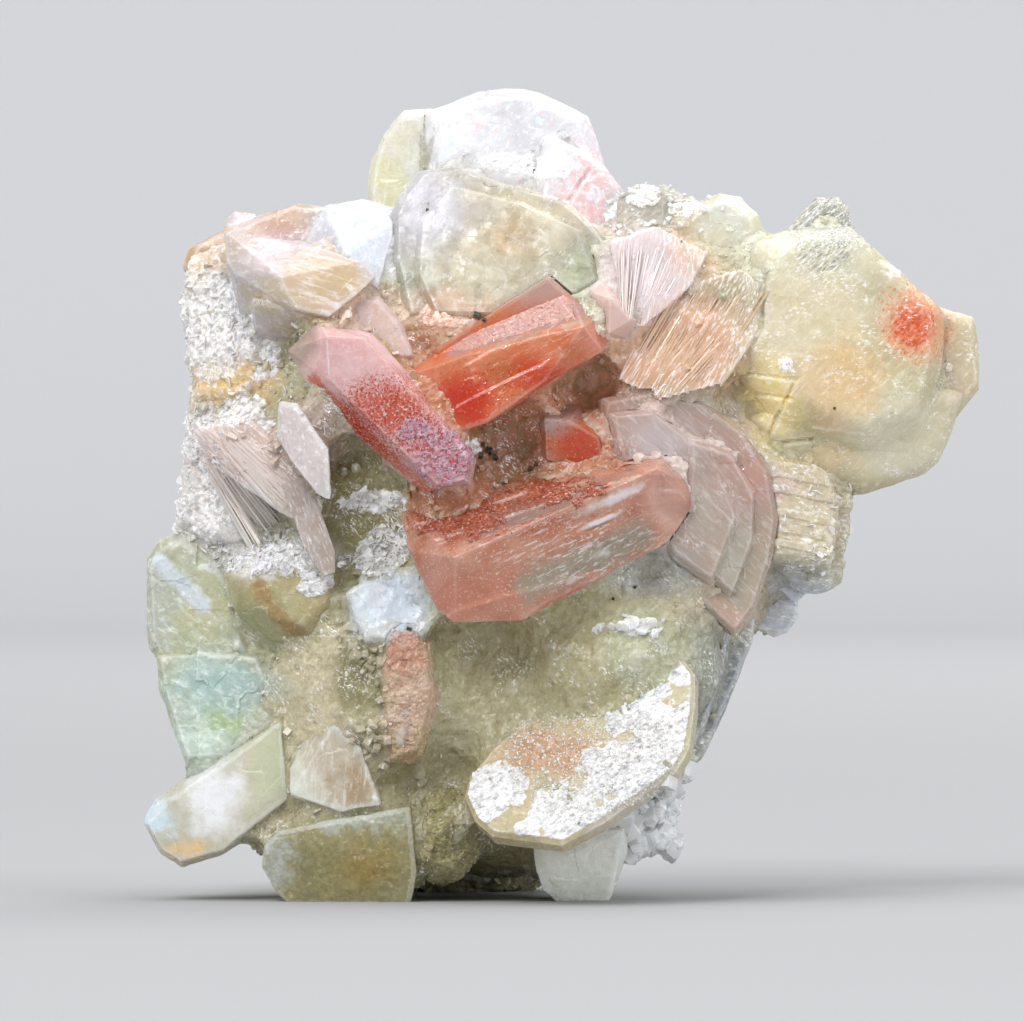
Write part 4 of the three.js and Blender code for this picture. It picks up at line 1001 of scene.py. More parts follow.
finish = Finish("clear_fan").ground("cba898", "c6a898", 4.0, 0.6)
finish.patches(
    ("dacfd2", (9.0, -13, 45.4), (4.4, 7, 3.0), 0.75),
    ("cfa594", (17.6, -12, 43.0), (3.4, 7, 3.4), 0.7),
    ("c8bfae", (13.6, -13, 38.6), (2.8, 7, 3.6), 0.7),
    ("c4bda6", (17.4, -12, 32.4), (3.0, 7, 5.0), 0.6), wobble=1.0)
# Two thin white streaks: painted glint lines across the plates.
streak(finish, "f6f0ec", (9.2, -14, 44.6), (14.8, -13, 38.6), 0.2, 0.8)
streak(finish, "f6f0ec", (11.6, -14, 43.6), (16.6, -13, 36.6), 0.12, 0.8)
streak(finish, "d9a28e", (19.4, -13, 43.6), (20.0, -13, 40.6), 1.6, 0.8, 0.5)
streak(finish, "c2c2ae", (17.0, -13, 36.0), (15.0, -13, 29.0), 1.8, 0.6, 0.7)
streak(finish, "e8b49c", (13.4, -13, 31.6), (17.0, -13, 27.6), 0.8, 0.6, 0.6)
(finish.specks("f0e4de", 0.34, 0.62, 0.70, 0.6)
 .wisps("f0e6e2", (1, 0, -0.9), 0.4, 0.5)
 .wisps("a08878", (1, 0, -0.9), 0.3, 0.25, shift=7.0)
 .glitter((0.7, 0, -0.75), 0.3, 0.65)
 .edges("fff6f2", 0.22)
 .surface(0.08, 0.24, 2.0, facets=0.05, bumps=((0.4, 0.012),))
 .depth(0.35, 2.4, (1.0, 0.75, 0.65), clear=0.32).absorbs("eec8b8", 0.003).on(clear_fan))

finish = Finish("back_fan").ground("e2dcc6", "dcd8c0", 4.0)
(finish.patches(("dc9c80", (6.0, 14, 50.0), (7, 9, 3), 0.7), ("f0eeee", (12.0, 14, 62.0), (6, 9, 4), 0.7))
 .wisps("ffffff", (1, 0, 0.4), 0.5, 0.4)
 .glitter((1, 0, 0.4), 0.3)
 .edges()
 .surface(0.08, 0.3, 2.4, facets=0.05, bumps=((0.4, 0.012),))
 .depth(0.3, 2.6, clear=0.4).absorbs("e8e0b8", 0.003).on(back_fan))

(Finish("small_pink_crystal").ground("f8dcd6", "f4d0c8", 2.4, 0.15)
 .specks("e08a78", 0.34, 0.60, 0.70, 0.6)
 .edges("fff0ec", 0.15)
 .surface(0.08, 0.24, 1.6, facets=0.05, bumps=((0.4, 0.012),))
 .depth(0.5, 2.0, (1.0, 0.7, 0.6), clear=0.2).on(small_pink))


# ---- frosted blades and plates ----
# Milky crystals of the same kind: cleaved, stepped and lightly etched faces, and edges that are
# chipped a little. They glow, because light scatters inside them.


def frosted(node, depth=7, whole=False, grow=0.25, chips=0.06, steps=0.08, step_size=4.0,
            lined=None, soft=0, grooves=(), crusts=(), facing=None, seed=1):
    """A milky crystal: crisp faces with low growth steps, chips and, if lined gives (way across
    them, spacing, height), parallel growth lines. soft rounds it, grooves are (start, end, width,
    depth) and crusts are ovals of frost, both as seen from the front. facing limits the crust."""
    piece = take(node, node + "_face", whole=whole)
    crisp_mesh(piece, depth)
    if soft:
        apply(piece, "SMOOTH", factor=0.5, iterations=soft)

    def push(at, out):
        height = grow + chips * swells(at, 1.3, seed) + 0.5 * chips * swells(at, 0.6, seed + 1)
        height += steps * grains(at, step_size, seed + 2, 0.06, 0.0)
        if lined:
            height += lined[2] * (ridges(at, lined[0], lined[1], seed + 3) - 0.5)
        for start, end, width, deep in grooves:
            height += groove(at, start, end, width, deep) * (out[:, 1] < 0)
        return height

    carve(piece, push)
    if crusts:
        where = None
        if facing:
            way = np.array(facing) / np.linalg.norm(facing)
            where = lambda at, out: np.clip((out @ way - 0.8) * 10, 0, 1)
        encrust(piece, crusts, seed + 60, where=where)
    mark_edges(piece)
    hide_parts(node)
    return piece


dome = frosted("dome_plate", 7, step_size=5.0, seed=31, soft=6,
               grooves=(((0.4, 69.4), (2.4, 72.6), 0.35, 0.5), ((-13.0, 76.6), (-14.6, 69.0), 0.4, 0.4)),
               crusts=((-4.0, 73.0, 5.0, 1.6),))
top_white = frosted("white_blade", 6, whole=True, seed=32)
back_top = frosted("back_top_blade", 7, seed=33, steps=0.2, lined=((0.3, 0, 1), 1.1, 0.16),
                   crusts=((-4.0, 64.0, 4.0, 3.0),))
back_left = frosted("back_left_blade", 7, seed=34, steps=0.2, lined=((1, 0.3, 0.4), 1.3, 0.2),
                    crusts=((-24.0, 56.0, 4.0, 4.0),))
left_side = frosted("left_side_blade", 7, seed=35, steps=0.15, lined=((0.2, 0.3, 1), 0.8, 0.2))
finish = Finish("milky_white").ground("cccdd8", "e0dfe6", 4.0)
finish.patches(
    ("dfb2b0", (2.4, -4, 70.6), (3.4, 9, 5.0), 0.85),
    ("ced4de", (-20.5, -8, 65.0), (5, 9, 5), 0.95),
    ("f6f6fb", (-11.0, 0, 77.0), (4, 9, 4), 0.7),
    ("bdb9b6", (-3.0, -2, 81.4), (11, 12, 2.2), 0.75),
    ("d8dccf", (-4, 9, 74), (9, 4, 6), 0.5),
    ("d6d0c4", (-34, 6, 46), (6, 9, 9), 0.6),
)
streak(finish, "8e8c98", (0.7, -4, 69.4), (2.4, -4, 72.5), 0.10, 0.7)
(finish.specks("f0cbc8", 1.6, 0.58, 0.68, 0.7)
 .specks("dfe9f4", 1.8, 0.56, 0.66, 0.6, shift=16.0)
 .specks("ffffff", 0.5, 0.56, 0.68, 0.7, shift=6.0)
 .wisps("ffffff", (1, 0, 0.6), 0.6, 0.4)
 .sugar(0.3, 0.15)
 .edges("ffffff", 0.22)
 .frost("fbfbfd", "dcdce2", 0.4, 0.45, along=(0.9, 0.2, 0.5))
 .surface(0.14, 0.5, 2.2, facets=0.12, facet_size=0.4, bumps=((0.9, 0.05), (0.25, 0.02)))
 .depth(0.4, 3.9, (1.0, 0.95, 0.95)).on(dome, top_white, back_top, back_left, left_side))

side_lamella = frosted("dome_side_lamella", 6, seed=36)
(Finish("side_lamella").ground("e6e2cc", "efece2", 3.0, 0.4)
 .patches(("d6d2a2", (-17.6, 2, 70.0), (2.0, 8, 5.0), 0.7))
 .wisps("f4f4ea", (0.2, 0, 1), 0.6, 0.6)
 .edges()
 .surface(0.1, 0.4, 2.0, facets=0.1, bumps=((0.8, 0.07), (0.25, 0.03)))
 .depth(0.35, 3.9).on(side_lamella))

upper_left = frosted("upper_left_blade", 7, whole=False, steps=0.08, chips=0.05, seed=37)
(Finish("upper_left_blade").ground("cbc2ca", "c6bcc0", 3.0)
 .patches(
     ("ccb490", (-23.4, -13.2, 61.0), (4.9, 3.2, 3.9), 0.95),
     ("cdbfa2", (-29.0, -12.0, 59.4), (4.2, 5, 2.0), 0.85),
     ("c8b497", (-24.0, -12.0, 56.0), (6.0, 6, 2.2), 0.85))
 .specks("f4f0f2", 1.6, 0.56, 0.70, 0.6)
 .wisps("f8f4f4", (1, 0, -0.25), 0.6, 0.6)
 .edges()
 .surface(0.08, 0.35, 2.2, facets=0.06, bumps=((1.2, 0.05), (0.25, 0.02)))
 .depth(0.35, 3.6, clear=0.2).on(upper_left))

corner = frosted("corner_plate", 6, seed=38)
(Finish("corner_plate").ground("bd977c", "c8a692", 3.0)
 .patches(
     ("cbcbd6", (-32.1, 0.2, 67.0), (2.4, 4, 2.2), 0.95),
     ("bf9a70", (-36.4, -2, 63.4), (3.0, 6, 3.0), 0.9))
 .edges()
 .surface(0.15, 0.45, 2.0, facets=0.1, bumps=((0.8, 0.06), (0.25, 0.03)))
 .depth(0.35, 3.3).on(corner))

mauve = frosted("mauve_plate", 6, steps=0.1, seed=39)
(Finish("mauve_plate").ground("fbe2dc", "f2d4c8", 2.4, 0.2)
 .specks("e6d3d3", 0.9, 0.56, 0.70, 0.6)
 .wisps("eadada", (1, 0, -0.5), 0.5, 0.6)
 .edges()
 .surface(0.1, 0.4, 2.0, facets=0.1, bumps=((0.8, 0.05), (0.25, 0.02)))
 .depth(0.3, 3.0, clear=0.3).on(mauve))

flank = frosted("flank_plates", 7, grow=0.1, chips=0.12, steps=0.25, step_size=1.8, seed=40, soft=10,
                crusts=((-34.6, 59.4, 4.4, 4.0), (-35.0, 54.4, 4.0, 2.6), (-29.6, 49.0, 4.6, 3.4),
                        (-35.6, 46.0, 3.0, 3.4), (-32.4, 40.4, 6.0, 3.6), (-36.6, 38.0, 3.0, 3.0)))
(Finish("flank_plates").ground("f0e8dc", "f6f2ee", 2.6, 0.85)
 .patches(
     ("dfbe7c", (-32.6, -6, 51.0), (4.8, 9, 2.4), 0.85),
     ("dcc4a4", (-37.0, -6, 62.4), (2.6, 9, 2.8), 0.8))
 .specks("f6f3f4", 0.5, 0.54, 0.64, 0.7)
 .wisps("e2b8a6", (0.7, 0, -0.75), 0.4, 0.5, 0.56, 0.70, shift=9.0, stretch=9.0)
 .frost("ffffff", "e2d6ca", 0.36, 0.7, along=(0.7, 0.3, -0.7))
 .glitter((0.7, 0, -0.75), 0.24)
 .edges()
 .surface(0.12, 0.5, 1.4, facets=0.5, facet_size=0.5, bumps=((0.4, 0.08),))
 .depth(0.25, 2.7).on(flank))

amber_lobe = frosted(
    "amber_lobe", 7, grow=0.3, chips=0.08, steps=0.1, step_size=3.0, seed=41, soft=60,
    grooves=(((19.8, 45.2), (22.6, 51.0), 0.3, 0.5), ((19.8, 45.2), (24.6, 45.8), 0.28, 0.4),
             ((17.8, 50.6), (22.6, 49.8), 0.26, 0.35), ((17.8, 52.4), (23.0, 51.6), 0.24, 0.3),
             ((24.6, 45.0), (34.0, 44.4), 0.3, 0.12)),
    crusts=((22.0, 53.2, 0.8, 0.8),))
crest = frosted("crest_plates", 7, steps=0.25, step_size=3.0, seed=42, soft=12,
                crusts=((8.0, 69.8, 1.6, 1.2), (12.6, 68.6, 2.0, 0.8)))
ribbed = frosted("ribbed_tip", 7, seed=43, soft=12, lined=((-0.64, 0, 0.77), 0.5, 0.22))
right_tip = frosted("right_tip", 6, seed=44, soft=14)
back_amber = frosted("back_amber_plates", 7, steps=0.3, seed=45, lined=((0.6, 0.3, 1), 1.0, 0.16),
                     crusts=((30.0, 58.0, 4.0, 3.0),))
finish = Finish("amber_lobe").ground("dccfb2", "d6c8a0", 5.0)
finish.patches(
    ("dcb47c", (28.4, -4, 51.6), (4.0, 14, 4.6), 0.5),
    ("dd9c66", (35.6, -4, 57.0), (3.6, 9, 3.8), 0.75),
    ("f2dc98", (20.4, -6, 49.6), (3.0, 7, 3.8), 0.8),
    ("96988f", (26.2, -3, 67.8), (5.0, 12, 4.6), 0.85),
    ("8f8c84", (9.6, -4, 69.8), (5.4, 12, 3.0), 0.75),
    ("d2d6d0", (16.8, -6, 68.0), (3.2, 9, 2.6), 0.7),
    ("efe9ea", (32.7, -4, 62.6), (0.9, 5, 1.1), 0.9),
)
finish.patches(("d8602e", (34.6, -5, 57.2), (2.6, 7, 3.0), 0.9), wobble=0.35)
finish.specks("c8401a", 0.5, 0.48, 0.60, 0.9, shift=3.0,
              where=finish.inside((34.6, -5, 56.8), (2.2, 8, 2.4), 0.8))
# Thin white lines: partly the lobe's white lamellae, partly painted glint lines along its cleavage; the two
# lines after the loop are painted glint lines.
for start, end in (((17.6, 51.6), (22.4, 50.6)), ((17.2, 53.0), (22.6, 52.2)),
                   ((19.6, 55.6), (23.6, 55.2)), ((22.0, 57.8), (24.4, 57.0)),
                   ((25.0, 49.4), (27.4, 52.2)), ((20.4, 60.6), (22.2, 63.4)),
                   ((15.8, 60.2), (16.8, 62.6)), ((24.8, 47.0), (29.6, 46.4)),
                   ((29.0, 62.0), (31.4, 59.6))):
    streak(finish, "f4ede2", (start[0], -8, start[1]), (end[0], -8, end[1]), 0.2, 0.7, 0.8)
streak(finish, "f4f4f2", (32.6, -6, 44.0), (35.9, -6, 45.1), 0.16, 0.9)
streak(finish, "efe4d2", (20.6, -7, 44.9), (26.6, -7, 55.0), 0.22, 0.7)
(finish.specks("f2ead6", 0.45, 0.62, 0.70, 0.7)
 .specks("a8935a", 0.35, 0.68, 0.74, 0.5, shift=2.0)
 .specks("cf6a3c", 0.4, 0.56, 0.64, 0.9, shift=6.0, where=finish.inside((35.0, -5, 57.6), (4.4, 8, 4.6)))
 .wisps("f2ead2", (1, 0, 1.1), 0.35, 0.35)
 .wisps("84867e", (0.77, 0, 0.64), 0.22, 0.85, 0.50, 0.60,
        where=finish.inside((25.6, -2, 65.4), (4.0, 9, 5.0)))
 .wisps("ffffff", (0.77, 0, 0.64), 0.16, 0.7, 0.52, 0.62, shift=7.0,
        where=finish.inside((25.0, -2, 64.4), (5.0, 9, 6.0)))
 .glitter((0.97, 0, 0.2), 0.26, 0.75)
 .frost("fbfbf8", "b9b5a6", 0.3)
 .edges()
 .surface(0.14, 0.45, 2.4, facets=0.12, facet_size=0.6, bumps=((0.9, 0.08), (0.25, 0.03)))
 .depth(0.45, 3.6, (1.0, 0.85, 0.6)).on(amber_lobe, crest, ribbed, right_tip, back_amber))

lower_right = frosted("right_lower_plates", 7, steps=0.15, step_size=2.4, seed=46,
                      soft=20, lined=((0.12, 0.2, 1), 0.8, 0.34))
fringe = frosted("fringe_blades", 6, seed=47)
edge = frosted("edge_plates", 7, seed=48)
finish = Finish("right_lower_plates").ground("c6bfa4", "b9b592", 3.0)
finish.patches(
    ("c2c9d4", (22.4, -3, 29.0), (6.0, 9, 4.6), 0.95),
    ("7d868d", (15.6, -7, 21.0), (5.0, 9, 9.0), 0.85),
    ("c8aca0", (21.4, -8, 41.0), (2.4, 7, 1.4), 0.8),
)
(finish.specks("e6e2d2", 0.9, 0.58, 0.70, 0.6)
 .wisps("efece0", (1, 0, -0.1), 0.5, 0.6)
 .glitter((1, 0, -0.15), 0.28, 0.95)
 .sugar(0.5, 0.3)
 .edges()
 .surface(0.1, 0.42, 2.0, facets=0.15, bumps=((0.7, 0.07), (0.25, 0.03)))
 .depth(0.35, 3.6).on(lower_right, fringe, edge))

hexagonal = frosted("hexagonal_plate", 7, grow=0.05, chips=0.04, steps=0.05, seed=49,
                    facing=(-0.3, -1, 0.62),
                    crusts=((-6.4, 11.0, 3.4, 3.0), (0.0, 8.6, 5.6, 2.6), (4.8, 13.0, 5.0, 3.6),
                            (9.0, 18.0, 4.6, 4.4), (11.6, 22.6, 1.6, 1.8)))
finish = Finish("hexagonal_plate").ground("dccdaa", "d8c6a2", 3.0)
finish.patches(
    ("b58660", (-1.8, -17, 14.8), (6.8, 9, 3.0), 0.85),
    ("c99a72", (9.6, -17, 17.6), (2.4, 9, 2.4), 0.7),
    ("b3ab8c", (4.6, -16, 20.4), (6.0, 9, 2.6), 0.7),
    wobble=1.0,
)
(finish.specks("f0e2cc", 0.4, 0.60, 0.70, 0.5)
 .frost("f4f5f9", "c2c2c4", 0.36, 0.9, along=(0.9, 0.1, 0.5))
 .edges()
 .surface(0.15, 0.5, 1.8, facets=0.3, facet_size=0.4, bumps=((0.35, 0.06),))
 .depth(0.3, 3.0).on(hexagonal))

wedge = frosted("bottom_wedge", 6, whole=True, seed=50, steps=0.1)
pale_wedge = frosted("pale_wedge", 6, whole=True, seed=51)
(Finish("bottom_wedge").ground("e2e6dc", "d8dacc", 2.6, 0.2)
 .patches(("bdb09c", (-23.6, -12, 14.6), (3.4, 8, 3.4), 0.9),
          ("a3855c", (-20.4, -12, 11.6), (3.4, 8, 3.0), 0.85),
          ("f4f6ec", (1.4, -10, 3.4), (6.0, 9, 4.0), 0.9))
 .specks("dfe0da", 1.0, 0.58, 0.70, 0.6)
 .lines((1, 0, 0.1), 0.8, 0.3, 0.34)
 .wisps("e9eae4", (0.1, 0, 1), 0.5, 0.6)
 .edges()
 .surface(0.1, 0.4, 2.0, facets=0.12, bumps=((0.7, 0.06), (0.25, 0.03)))
 .depth(0.35, 3.3).on(wedge, pale_wedge))

green = frosted("green_plates", 7, steps=0.3, seed=52)
sharp = frosted("sharp_blade", 7, whole=True, steps=0.1, chips=0.07, seed=53)
back_green = frosted("back_green_plate", 7, seed=54, steps=0.2,
                     lined=((0.8, 0.3, 1), 1.2, 0.18))
finish = Finish("green_plates").ground("b9bd9c", "a9b3a0", 3.6)
finish.patches(
    ("c2bf98", (-36.0, -6, 29.4), (4.0, 9, 3.4), 0.7),
    ("a0bab6", (-33.6, -7, 21.0), (6.0, 9, 3.4), 0.85),
    ("c6d8cc", (-36.0, -7, 15.6), (3.4, 9, 3.4), 0.8),
    ("9db57e", (-33.8, -8, 17.4), (2.0, 8, 1.9), 0.8),
    ("b2b6b0", (-40.6, -4, 29.6), (2.2, 9, 5.0), 0.7),
)
streak(finish, "d3dcea", (-40.4, -4, 33.6), (-35.8, -6, 29.2), 0.8, 0.8)
(finish.specks("dfe6dc", 1.0, 0.58, 0.70, 0.6)
 .wisps("e2eae4", (1, 0, -0.6), 0.6, 0.6)
 .wisps("9aa88c", (1, 0, 0.4), 0.8, 0.4, shift=5.0)
 .sugar(0.5, 0.22)
 .edges()
 .surface(0.12, 0.45, 2.2, facets=0.14, bumps=((0.8, 0.07), (0.25, 0.03)))
 .depth(0.35, 4.2, (0.8, 1.0, 0.8)).on(green, back_green))

finish = Finish("sharp_blade").ground("dedccb", "e4e0d6", 3.4)
finish.patches(
    ("ecedf0", (-34.6, -9, 9.8), (3.4, 9, 4.2), 0.95),
    ("c2c8a6", (-28.6, -9, 13.6), (3.4, 9, 4.6), 0.8),
    ("e3c596", (-37.4, -9, 5.0), (2.8, 9, 1.5), 0.9),
    ("cfe2ec", (-40.4, -8, 8.4), (2.0, 9, 1.9), 0.9),
)
streak(finish, "c9c27c", (-32.9, -10, 9.4), (-30.8, -10, 12.4), 0.35, 0.7)
(finish.lines((0.5, 0, 0.87), 0.9, 0.25, 0.32)
 .edges()
 .surface(0.15, 0.45, 2.4, facets=0.08, bumps=((1.0, 0.07), (0.25, 0.03)))
 .depth(0.45, 4.5, (1.0, 0.9, 0.7)).on(sharp))

lens = frosted("golden_lens", 7, grow=0.3, chips=0.08, steps=0.1, step_size=2.4, seed=55, soft=40,
               crusts=((-28.6, 33.8, 5.6, 2.0), (-24.0, 31.4, 2.0, 1.2)))
finish = Finish("golden_lens").ground("a8945a", "b4a67a", 2.6)
finish.patches(
    ("dadcd8", (-29.0, -12, 34.0), (6.0, 9, 1.9), 0.9),
    ("8c9064", (-30.6, -12, 27.4), (3.2, 9, 3.4), 0.7),
)
streak(finish, "94703a", (-30.2, -12, 31.0), (-26.2, -13, 26.0), 0.9, 0.75)
(finish.specks("e2dcc0", 0.4, 0.60, 0.70, 0.6)
 .specks("6f6434", 0.35, 0.66, 0.72, 0.5, shift=2.0)
 .frost("eeeef2", "aeaca2", 0.4, along=(0.9, 0.2, 0.3))
 .edges()
 .surface(0.15, 0.5, 1.8, facets=0.25, facet_size=0.5, bumps=((0.4, 0.07),))
 .depth(0.3, 3.3).on(lens))

flakes = frosted("flake_patch", 7, grow=0.15, chips=0.2, steps=0.12, step_size=1.6,
                 seed=56, soft=14)
spear = frosted("spear_blade", 6, whole=True, steps=0.05, seed=57)
(Finish("flake_patch").ground("dfe8f2", "e9eef2", 2.0)
 .patches(("d2cdbd", (-16.0, -15, 26.4), (4, 8, 1.6), 0.6), ("d8cccb", (-25.4, -15, 45.0), (5, 8, 7), 0.95))
 .specks("ffffff", 0.6, 0.54, 0.68, 0.7)
 .edges()
 .surface(0.12, 0.45, 1.6, facets=0.25, facet_size=0.5, bumps=((0.5, 0.06),))
 .depth(0.35, 3.0).on(flakes, spear))

block = frosted("bottom_block", 7, whole=True, steps=0.1, chips=0.08, seed=58)
finish = Finish("bottom_block").ground("a59c6c", "938d62", 3.6)
finish.patches(
    ("b2b8aa", (-22.0, -13, 7.9), (8.0, 8, 1.1), 0.85),
    ("b8beb6", (-28.2, -11, 4.4), (1.8, 9, 3.6), 0.8),
    ("9c8444", (-19.0, -12, 3.6), (3.4, 9, 2.6), 0.7),
)
(finish.specks("c9c6a0", 0.8, 0.58, 0.70, 0.6)
 .specks("6c6434", 0.7, 0.62, 0.74, 0.5, shift=7.0)
 .sugar(0.35, 0.4)
 .edges()
 .surface(0.2, 0.5, 1.8, facets=0.2, facet_size=0.35, bumps=((0.3, 0.05),))
 .depth(0.35, 3.6).on(block))

back_low = frosted("back_low_blade", 7, whole=True, steps=0.1, seed=59)
(Finish("back_low_blade").ground("dcae9c", "e6c8bc", 4.0)
 .patches(("cf6848", (-8, 16, 36), (6, 6, 3.4), 0.8))
 .specks("c84a2c", 0.6, 0.58, 0.68, 0.7)
 .wisps("f6eeea", (1, 0, -0.3), 0.6, 0.6)
 .edges()
 .surface(0.08, 0.35, 2.2, facets=0.1, bumps=((0.8, 0.06), (0.25, 0.02)))
 .depth(0.35, 3.3).on(back_low))

back_right = frosted("back_right_plates", 7, steps=0.3, seed=60,
                     lined=((0.1, 0.3, 1), 1.0, 0.18), crusts=((20.0, 34.0, 4.0, 3.0),))
back_plates = frosted("back_low_plates", 7, steps=0.3, seed=61,
                      lined=((-0.5, 0.3, 1), 1.0, 0.18), crusts=((-2.0, 22.0, 4.0, 3.0),))
(Finish("back_plates").ground("c9ccb0", "d8d6c4", 4.0)
 .patches(("c4805a", (8.0, 16, 30.0), (6, 9, 4), 0.7), ("dfe6e2", (-4.0, 16, 18.0), (7, 9, 4), 0.7))
 .specks("e6e6dc", 1.2, 0.56, 0.70, 0.6)
 .wisps("f0f0e8", (1, 0, 0.3), 0.6, 0.6)
 .frost("fbfbfd", "c8c4b6", 0.4, 0.8, along=(0.9, 0.1, 0.4))
 .glitter((1, 0, 0.3), 0.28)
 .edges()
 .surface(0.12, 0.45, 2.2, facets=0.14, bumps=((0.8, 0.07), (0.25, 0.03)))
 .depth(0.35, 3.9).on(back_right, back_plates))


# ---- crusts ----
# Rough, sugary skins of tiny orange and olive crystals: the lens between the red blades, the salmon
# column, and the two grainy feet.


def crusted(node, seed, rough=0.5, size=1.1, step=0.26):
    """A lump that is covered with tiny crystals."""
    piece = take(node, node + "_face")
    fine_mesh(piece, step)
    carve(piece, lambda at, out: 0.1 + 0.3 * swells(at, 2.6, seed) + rough * grains(at, size, seed + 1)
          + 0.35 * rough * grains(at, size * 0.5, seed + 2))
    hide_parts(node)
    return piece


orange = crusted("orange_crust", 71, 0.4, 0.9, 0.2)
(Finish("orange_crust").ground("f0a47a", "f6c0a4", 1.6, 0.5)
 .patches(("ffe4d8", (-12.6, -11, 57.6), (4.6, 8, 2.2), 0.85),
          ("b0602c", (-14.8, -10, 55.4), (2.0, 6, 1.6), 0.9))
 .specks("f6e2da", 0.6, 0.54, 0.66, 0.7)
 .specks("cc5a34", 0.5, 0.58, 0.68, 0.7, shift=5.0)
 .sugar(0.3, 0.5)
 .surface(0.2, 0.55, 1.2, facets=0.4, facet_size=0.3, bumps=((0.25, 0.05),))
 .depth(0.3, 2.4, (1.0, 0.6, 0.4)).on(orange))

column = crusted("salmon_column", 72, 0.2, 0.8, 0.2)
(Finish("salmon_column").ground("b89c86", "ae9880", 2.0, 0.8)
 .patches(("b98068", (-15.8, -16, 24.8), (2.4, 6, 3.2), 0.7),
          ("ac906c", (-15.4, -14, 15.4), (3.0, 6, 2.0), 0.7))
 .specks("e6c4b2", 0.6, 0.56, 0.68, 0.7)
 .sugar(0.3, 0.5)
 .surface(0.2, 0.5, 1.2, facets=0.35, facet_size=0.3, bumps=((0.25, 0.05),))
 .depth(0.3, 2.4, (1.0, 0.6, 0.4)).on(column))

dome_grains = crusted("grainy_dome", 73, 0.25, 0.9, 0.22)
foot = crusted("back_foot", 74, 0.6, 1.8, 0.36)
(Finish("grainy_dome").ground("98905f", "aaa480", 3.0)
 .specks("cfcdb0", 0.7, 0.56, 0.68, 0.7)
 .specks("6e6538", 0.8, 0.60, 0.72, 0.5, shift=7.0)
 .sugar(0.35, 0.5)
 .surface(0.2, 0.55, 1.4, facets=0.4, facet_size=0.4, bumps=((0.3, 0.06),))
 .depth(0.25, 2.7).on(dome_grains, foot))


# ---- small crystals ----
# Hundreds of crystals of a tenth of a millimetre to three millimetres have grown in every seam and
# hollow: short blocks, coffin-shaped tablets, thin flakes and, in the sheaves, long laths.


def seed_crystal(name, size, *cuts):
    """One small crystal that stands on the origin: a block of that size, cut by planes, each given
    as (point, way out), all in millimetres."""
    bpy.ops.object.select_all(action="DESELECT")
    bpy.ops.mesh.primitive_cube_add(size=1, location=(0, 0, 0.5))
    piece = bpy.context.object
    piece.name = name
    bpy.ops.object.mode_set(mode="EDIT")
    bpy.ops.mesh.select_all(action="SELECT")
    bpy.ops.transform.resize(value=size, center_override=(0, 0, 0))
    for point, out in cuts:
        bpy.ops.mesh.select_all(action="SELECT")
        bpy.ops.mesh.bisect(plane_co=point, plane_no=out, use_fill=True, clear_outer=True)
    bpy.ops.object.mode_set(mode="OBJECT")
    bpy.ops.object.transform_apply(location=True, rotation=True, scale=True)
    points = np.array([v.co for v in piece.data.vertices])
    faces = [tuple(p.vertices) for p in piece.data.polygons]
    bpy.data.objects.remove(piece)
    return points, faces


blocky = seed_crystal(
    "blocky", (0.7, 0.62, 1.0),
    ((0.2, 0, 1), (1, 0.1, 0.9)), ((-0.24, 0, 1), (-1, 0.2, 1.0)), ((0, 0.2, 1), (0.1, 1, 0.8)),
    ((0, -0.22, 1), (-0.1, -1, 0.9)))
tablet = seed_crystal(
    "tablet", (0.8, 0.26, 1.0),
    ((0.16, 0, 1), (1, 0, 0.7)), ((-0.2, 0, 1), (-1, 0, 1.1)), ((0, 0.09, 0.9), (0, 1, 0.35)),
    ((0.4, 0, 0.3), (1, 0.5, -0.1)))
flake = seed_crystal(
    "flake", (1.0, 0.09, 0.8),
    ((0.3, 0, 0.8), (1, 0, 0.6)), ((-0.34, 0, 0.7), (-1, 0, 0.45)), ((0.0, 0, 0.74), (-0.2, 0, 1)))
lath = seed_crystal("lath", (0.05, 0.03, 1.0), ((0.0, 0, 1), (0.9, 0, 0.2)),
                    ((-0.01, 0, 0.97), (-0.9, 0, 0.3)))


def triangles_of(pieces):
    """The triangles of some pieces, as corners in millimetres."""
    found = []
    for piece in pieces:
        mesh = piece.data
        mesh.calc_loop_triangles()
        points = np.empty(len(mesh.vertices) * 3)
        mesh.vertices.foreach_get("co", points)
        index = np.empty(len(mesh.loop_triangles) * 3, int)
        mesh.loop_triangles.foreach_get("vertices", index)
        found.append((points.reshape(-1, 3) / MM)[index].reshape(-1, 3, 3))
    return np.concatenate(found)


def planted(name, seed_shape, places, outs, sides, sizes):
    """One piece of many copies of a small crystal, each with its own place, direction and size."""
    points, faces = seed_shape
    thirds = np.cross(outs, sides)
    axes = np.stack([sides, thirds, outs], axis=1) * sizes[:, None, :].transpose(0, 2, 1)
    body = places[:, None, :] + points[None] @ axes
    body = np.clip(body, *BOX).reshape(-1, 3)
    count = len(points)
    mesh = bpy.data.meshes.new(name)
    mesh.from_pydata((body * MM).tolist(), [],
                     [tuple(v + i * count for v in face) for i in range(len(places)) for face in faces])
    piece = bpy.data.objects.new(name, mesh)
    bpy.context.collection.objects.link(piece)
    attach(piece, "root")
    return piece


def unit(vectors):
    return vectors / np.linalg.norm(vectors, axis=1)[:, None]


def walls_of(pieces):
    """The faces of some pieces, so that a ray can be cast at them, in millimetres."""
    corners = triangles_of(pieces)
    return BVHTree.FromPolygons(corners.reshape(-1, 3).tolist(),
                                np.arange(len(corners) * 3).reshape(-1, 3).tolist())


solids = [o for o in bpy.data.objects if o.type == "MESH" and o.name.endswith(("_face", "_shell", "_mass"))]
walls = walls_of(solids)


ROOTED = 0.3  # the share of a small crystal that is sunk in what carries it
ROOM = 2.5  # how much open space a small crystal needs over its root, in millimetres
LIFT = 0.12  # how far over the face that space is measured from


